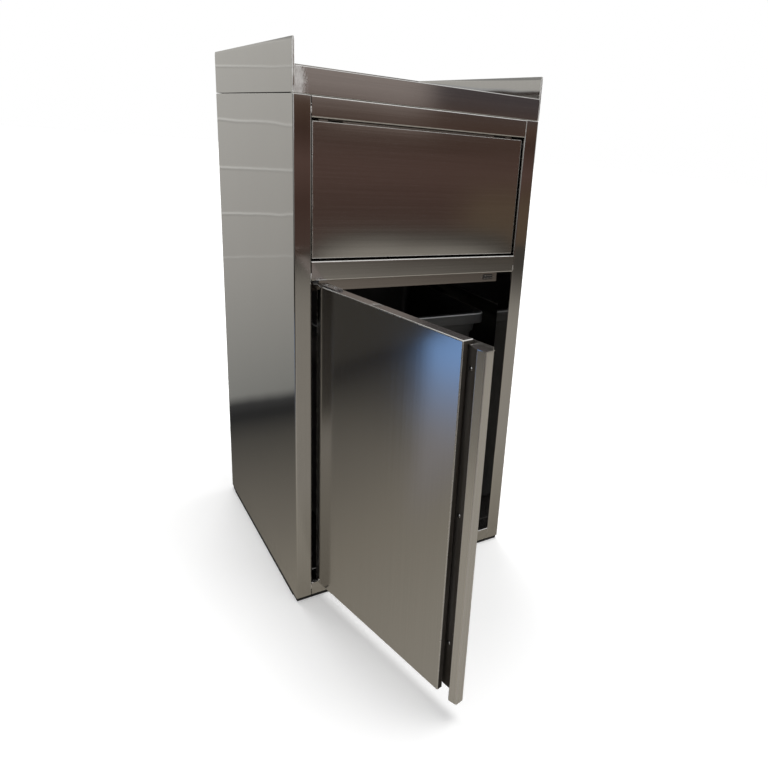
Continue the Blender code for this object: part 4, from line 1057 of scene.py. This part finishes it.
def bin_profile(bottom, top):
    """The bin's section as (inset, height) up the inside, over the rim and down the outside, and its painted
    rim highlight.

    The wall tapers evenly with height and steps in a little under the rim and above the foot. The outer
    edge of the rim carries a painted highlight, and the rest of the rim a faint one.
    """
    step = 0.0020
    chamfer = 0.001
    foot_round = 0.012
    floor_round = 0.030
    inner_ease = 0.010
    outer_ease = 0.004
    below_skirt = 0.006
    skirt = top - BIN_SKIRT
    shoulder = skirt - BIN_SHOULDER
    under_rim = top - BIN_ROLL - BIN_WALL
    inner_rim = BIN_RIM + BIN_WALL
    foot = BIN_RIM + BIN_TAPER
    rise = np.linspace(bottom + foot_round, shoulder, 9)
    wall = inner_rim + BIN_TAPER * (top - rise) / (top - bottom)
    inset, depth = quarter_profile(BIN_ROLL, CORNER_STEPS)
    inside = [(foot + floor_round, bottom + BIN_WALL), *zip(wall + BIN_WALL, rise),
              (inner_rim + step, shoulder + inner_ease)]
    over = [*zip(inner_rim - depth, top - inset), *zip(inset, top - depth),
            (0, skirt + chamfer), (chamfer, skirt), (BIN_WALL - chamfer, skirt), (BIN_WALL, skirt + chamfer)]
    under = [(BIN_WALL, under_rim), (BIN_RIM - chamfer, under_rim), (BIN_RIM, skirt - below_skirt),
             (BIN_RIM + step, shoulder + outer_ease), *zip(wall[::-1], rise[::-1]),
             (foot + foot_round / 2, bottom + foot_round / 6), (foot + foot_round, bottom)]
    turn = len(inset)
    # The rim's painted highlight, strongest on its outer edge
    rim_highlights = np.repeat([0.025, 1.0, 0.035], [turn + 1, turn - 2, len(over) - 2 * turn + 1])
    return inside + over + under, np.concatenate([np.zeros(len(inside)), rim_highlights, np.zeros(len(under))])


def waste_bin():
    """The bin: rounded rectangle loops, drawn in and raised along its section."""
    low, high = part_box("waste_bin")
    middle = (low + high) / 2
    half = (high - low) / 2
    profile, highlight_and_wear = bin_profile(low.z, high.z)
    tightening = 0.2
    loops = []
    for step_in, level in profile:
        corner = max(BIN_CORNER - step_in * tightening, BIN_FOOT_CORNER)
        loop = rounded_rectangle(half.x - step_in, half.y - step_in, corner, FOLD_STEPS)
        loops.append(at_level(loop + np.array([middle.x, middle.y]), level))
    shell = loft(loops, highlight_and_wear)
    new_piece("plastic_bin", [shell], "carcass", ["waste_bin"], [BIN_PLASTIC], BIN_SHARP)


def dress_kept_solids():
    """Finishes for the solids whose own shape is shown."""
    finishes = {
        INNER_STEEL: ["back_panel", "base_panel", "flap_inner_skin", "door_inner_skin",
                      "door_hinge_side_stop", "flap_stop_strip", "worktop_front_stiffener",
                      "worktop_rear_stiffener"],
        SHADED_STOP_STEEL: ["door_head_stop"],
        HARDWARE_STEEL: ["flap_left_pivot_pin", "flap_right_pivot_pin", "door_top_pivot", "door_bottom_pivot",
                         "catch_lower_pole", "catch_upper_pole", "strike_plate"],
        NYLON: ["flap_left_bush", "flap_right_bush", "top_pivot_bush", "bottom_pivot_washer"],
        RUBBER_AND_BASE_SHADOW: ["left_flap_buffer", "right_flap_buffer"],
        CATCH_PLASTIC: ["catch_body"],
    }
    for finish, names in finishes.items():
        for name in names:
            for slot in frame["nodes"][name].material_slots:
                slot.material = finish


# Stage: a pale floor, soft light, and a plain room that only the metal's reflections see

ROOM_LEFT = -4.0
ROOM_RIGHT = 6.5
ROOM_FRONT = -4.7
ROOM_BACK = 1.15
ROOM_TOP = 2.6
FRONT_WALL_TOP = 4.2


def stage_card(name, corners, material, reflected_only):
    """A flat card between four corners. If reflected only, the camera, soft light and shadows miss it."""
    mesh = bpy.data.meshes.new(name)
    mesh.from_pydata([tuple(corner) for corner in corners], [], [(0, 1, 2, 3)])
    mesh.materials.append(material)
    card = bpy.data.objects.new(name, mesh)
    bpy.context.scene.collection.objects.link(card)
    if reflected_only:
        card.visible_camera = False
        card.visible_diffuse = False
        card.visible_shadow = False


def wall_card(name, start, end, top, material):
    """A wall that is reflected only, from one point of the floor to another and up to its top."""
    corners = [(*start, 0), (*end, 0), (*end, top), (*start, top)]
    stage_card(name, corners, material, reflected_only=True)


def card_material(name):
    """A material of light alone: its nodes, its colour input and the coordinates it is drawn on."""
    material = bpy.data.materials.new(name)
    material.use_nodes = True
    tree = material.node_tree
    tree.nodes.remove(tree.nodes["Principled BSDF"])
    light = tree.nodes.new("ShaderNodeEmission")
    tree.links.new(light.outputs[0], tree.nodes["Material Output"].inputs["Surface"])
    coordinates = tree.nodes.new("ShaderNodeTexCoord").outputs["Object"]
    parts = node(tree, "ShaderNodeSeparateXYZ", {0: coordinates}).outputs
    return material, tree, light.inputs["Color"], parts


def ramp(tree, value, stops):
    """A colour that runs through stops of (place, colour) over the range of their places."""
    first, last = stops[0][0], stops[-1][0]
    share = sums(tree, "DIVIDE", sums(tree, "SUBTRACT", value, first), last - first)
    made = node(tree, "ShaderNodeValToRGB", {0: share})
    bar = made.color_ramp.elements
    while len(bar) < len(stops):
        bar.new(0.5)
    for element, (place, colour) in zip(bar, stops):
        element.position = (place - first) / (last - first)
        element.color = (*colour, 1)
    return made.outputs[0]


def distance(tree, parts, x, y):
    """The level distance from a point of the floor."""
    across = sums(tree, "SUBTRACT", parts["X"], x)
    along = sums(tree, "SUBTRACT", parts["Y"], y)
    return sums(tree, "SQRT", sums(tree, "ADD", sums(tree, "MULTIPLY", across, across),
                                   sums(tree, "MULTIPLY", along, along)))


def room_back_wall():
    """A pale boarded wall a little behind the cabinet, in shade to the left and above."""
    material, tree, colour_input, parts = card_material("room_back_wall")
    colour = ramp(tree, parts["Z"], [
        (0.00, (0.03, 0.03, 0.03)), (0.04, (0.05, 0.05, 0.05)), (0.08, (0.26, 0.26, 0.245)),
        (0.60, (0.41, 0.40, 0.375)), (1.35, (0.55, 0.54, 0.51)), (1.45, (0.58, 0.57, 0.54)),
        (1.51, (0.33, 0.33, 0.32)), (ROOM_TOP, (0.36, 0.36, 0.35))])
    pitch = 0.16
    first_joint = 0.63
    rise = sums(tree, "SUBTRACT", parts["Z"], first_joint - pitch / 2)
    board = sums(tree, "FRACT", sums(tree, "DIVIDE", rise, pitch))
    joint = sums(tree, "ABSOLUTE", sums(tree, "SUBTRACT", board, 0.5))
    shade = sums(tree, "ABSOLUTE", sums(tree, "SUBTRACT", board, 0.46))
    shown = spread(tree, parts["Z"], 0.50, 0.80)
    pale = sums(tree, "MULTIPLY", spread(tree, joint, 0.035, 0.010), shown)
    deep = sums(tree, "MULTIPLY", spread(tree, shade, 0.030, 0.010), shown)
    colour = blend_colour(tree, sums(tree, "MULTIPLY", pale, 0.36), colour, (0.95, 0.95, 0.92))
    colour = blend_colour(tree, sums(tree, "MULTIPLY", deep, 0.20), colour, (0.10, 0.10, 0.09))
    colour = blend_colour(tree, spread(tree, parts["X"], -0.85, -1.10), colour, (0.052, 0.048, 0.042))
    tree.links.new(colour, colour_input)
    wall_card("room_back_wall", (ROOM_LEFT, ROOM_BACK), (ROOM_RIGHT, ROOM_BACK), ROOM_TOP, material)


def room_front_wall():
    """A dark brown wall well in front of the cabinet, paler above a counter's height, with a window."""
    material, tree, colour_input, parts = card_material("room_front_wall")
    brown = [(0.00, (0.090, 0.058, 0.048)), (0.45, (0.075, 0.044, 0.035)), (0.78, (0.118, 0.072, 0.060)),
             (1.08, (0.064, 0.037, 0.028)), (1.28, (0.100, 0.062, 0.044))]
    pale = [*brown, (1.40, (0.34, 0.29, 0.27)), (FRONT_WALL_TOP, (0.40, 0.38, 0.36))]
    dark = [*brown, (1.50, (0.08, 0.07, 0.075)), (FRONT_WALL_TOP, (0.16, 0.15, 0.15))]
    to_right = spread(tree, parts["X"], 2.40, 2.80)
    colour = blend_colour(tree, to_right, ramp(tree, parts["Z"], pale), ramp(tree, parts["Z"], dark))
    far_right = spread(tree, parts["X"], 2.80, 3.50)
    lamplit = sums(tree, "MULTIPLY", far_right, spread(tree, parts["Z"], 0.80, 0.30))
    colour = blend_colour(tree, lamplit, colour, (0.125, 0.088, 0.058))
    to_left = spread(tree, parts["X"], -1.80, -2.10)
    window = sums(tree, "MULTIPLY", to_left, spread(tree, parts["Z"], 0.90, 1.10))
    colour = blend_colour(tree, window, colour, (0.80, 0.83, 0.86))
    tree.links.new(colour, colour_input)
    wall_card("room_front_wall", (ROOM_RIGHT, ROOM_FRONT), (ROOM_LEFT, ROOM_FRONT), FRONT_WALL_TOP, material)


def room_side_walls():
    """Plain walls to the left and right, paler upwards."""
    for name, x, low, high in (("room_left_wall", ROOM_LEFT, (0.10, 0.095, 0.09), (0.85, 0.85, 0.83)),
                               ("room_right_wall", ROOM_RIGHT, (0.26, 0.25, 0.24), (0.58, 0.57, 0.55))):
        material, tree, colour_input, parts = card_material(name)
        tree.links.new(ramp(tree, parts["Z"], [(0.0, low), (ROOM_TOP, high)]), colour_input)
        wall_card(name, (x, ROOM_FRONT), (x, ROOM_BACK), ROOM_TOP, material)


def room_floor():
    """A warm grey floor that dims to the back, the left and the far front, with cool daylight on the left."""
    material, tree, colour_input, parts = card_material("room_floor")
    colour = ramp(tree, parts["Y"], [
        (-0.60, (0.365, 0.340, 0.300)), (-0.30, (0.325, 0.300, 0.255)), (0.05, (0.255, 0.232, 0.192)),
        (0.30, (0.195, 0.178, 0.150)), (0.90, (0.085, 0.080, 0.071)), (1.10, (0.03, 0.03, 0.03))])
    near = spread(tree, distance(tree, parts, 0.0, -0.8), 4.2, 1.8, 0.16, 1.0)
    right = spread(tree, parts["X"], -1.60, -0.80, 0.62, 1.0)
    ahead = spread(tree, parts["Y"], -0.50, -0.90)
    corner = sums(tree, "MULTIPLY", spread(tree, parts["X"], -0.70, -1.20), ahead)
    bright = sums(tree, "MULTIPLY", near, right)
    bright = sums(tree, "MULTIPLY", bright, spread(tree, corner, 0.0, 1.0, 1.0, 0.2))
    colour = blend_colour(tree, bright, (0.012, 0.009, 0.007), colour)
    across = sums(tree, "ADD", sums(tree, "MULTIPLY", parts["X"], -0.60),
                  sums(tree, "MULTIPLY", parts["Y"], -0.80))
    lit = sums(tree, "MULTIPLY", spread(tree, across, 0.34, 0.44), spread(tree, across, 1.00, 0.75))
    far = spread(tree, distance(tree, parts, 0.0, 0.0), 1.05, 2.35)
    daylight = blend_colour(tree, far, (0.28, 0.265, 0.265), (0.26, 0.46, 0.86))
    beside = spread(tree, parts["Y"], -0.10, 0.25)
    colour = blend_colour(tree, sums(tree, "MULTIPLY", lit, beside), colour, daylight)
    tree.links.new(colour, colour_input)
    level = 0.001
    corners = [(ROOM_LEFT, ROOM_FRONT, level), (ROOM_RIGHT, ROOM_FRONT, level),
               (ROOM_RIGHT, ROOM_BACK, level), (ROOM_LEFT, ROOM_BACK, level)]
    stage_card("room_floor", corners, material, reflected_only=True)


def pale_floor():
    """The floor: matt white, lifted a little for the camera so that it meets the white background."""
    material = bpy.data.materials.new("pale_floor")
    material.use_nodes = True
    tree = material.node_tree
    seen = node(tree, "ShaderNodeLightPath").outputs["Is Camera Ray"]
    fill(tree, tree.nodes["Principled BSDF"], {
        "Base Color": (0.88, 0.88, 0.88, 1),
        "Roughness": 1.0,
        "Specular IOR Level": 0.0,
        "Emission Color": (1, 1, 1, 1),
        "Emission Strength": sums(tree, "MULTIPLY", seen, 0.24),
    })
    reach = 30
    corners = [(-reach, -reach, 0), (reach, -reach, 0), (reach, reach, 0), (-reach, reach, 0)]
    stage_card("pale_floor", corners, material, reflected_only=False)


def soft_light():
    """A white surround that lights softly, with lamps from above: one a little behind, one to the right."""
    world = bpy.data.worlds.new("white_surround")
    bpy.context.scene.world = world
    world.use_nodes = True
    tree = world.node_tree
    ray = node(tree, "ShaderNodeLightPath").outputs
    seen = sums(tree, "MAXIMUM", ray["Is Camera Ray"], ray["Is Glossy Ray"])
    strength = spread(tree, seen, 0.0, 1.0, 0.5, 1.0)
    fill(tree, tree.nodes["Background"], {"Color": (1, 1, 1, 1), "Strength": strength})
    lamps = (("rear_lamp", 1.05, (0.02, 0.50, 1.0)), ("right_lamp", 1.30, (0.24, -0.14, 1.0)))
    for name, energy, towards in lamps:
        lamp = bpy.data.lights.new(name, "SUN")
        lamp.energy = energy
        lamp.angle = radians(30)
        holder = bpy.data.objects.new(name, lamp)
        holder.rotation_euler = Vector(towards).to_track_quat("Z", "Y").to_euler()
        holder.visible_glossy = False
        bpy.context.scene.collection.objects.link(holder)


def photo_camera():
    """The camera as fitted to the photograph: turned to the right, tipped down and rolled a little."""
    turn, dip, roll = radians(36.28), radians(17.95), radians(5.283)
    forward = Vector((sin(turn) * cos(dip), cos(turn) * cos(dip), -sin(dip)))
    level = Vector((cos(turn), -sin(turn), 0))
    plumb = level.cross(forward)
    right = level * cos(roll) + plumb * sin(roll)
    up = plumb * cos(roll) - level * sin(roll)
    lens = bpy.data.cameras.new("photo_camera")
    lens.sensor_width = 36.0
    lens.lens = 30.61
    lens.shift_x = -0.1474
    lens.shift_y = -0.0411
    camera = bpy.data.objects.new("photo_camera", lens)
    camera.matrix_world = Matrix((right, up, -forward)).transposed().to_4x4()
    camera.location = (-0.735, -1.346, 1.1235)
    bpy.context.scene.collection.objects.link(camera)
    bpy.context.scene.camera = camera


# Make the pieces, then the stage
side_sheet("left_side_sheet", "left_side_panel", -1)
side_sheet("right_side_sheet", "right_side_panel", 1)
rail_sheet("top_rail_sheet", "top_rail")
rail_sheet("mid_rail_sheet", "mid_rail")
rail_sheet("bottom_rail_sheet", "bottom_rail")
frame_welds()
tray_plate()
tray_upstands()
base_runners_and_contact_shadow()
flap_sheet()
door_sheet()
door_pull()
door_screws()
carcass_fixings()
waste_bin()
dress_kept_solids()

pale_floor()
room_floor()
room_back_wall()
room_front_wall()
room_side_walls()
soft_light()
photo_camera()
bpy.context.scene.view_settings.view_transform = "Standard"
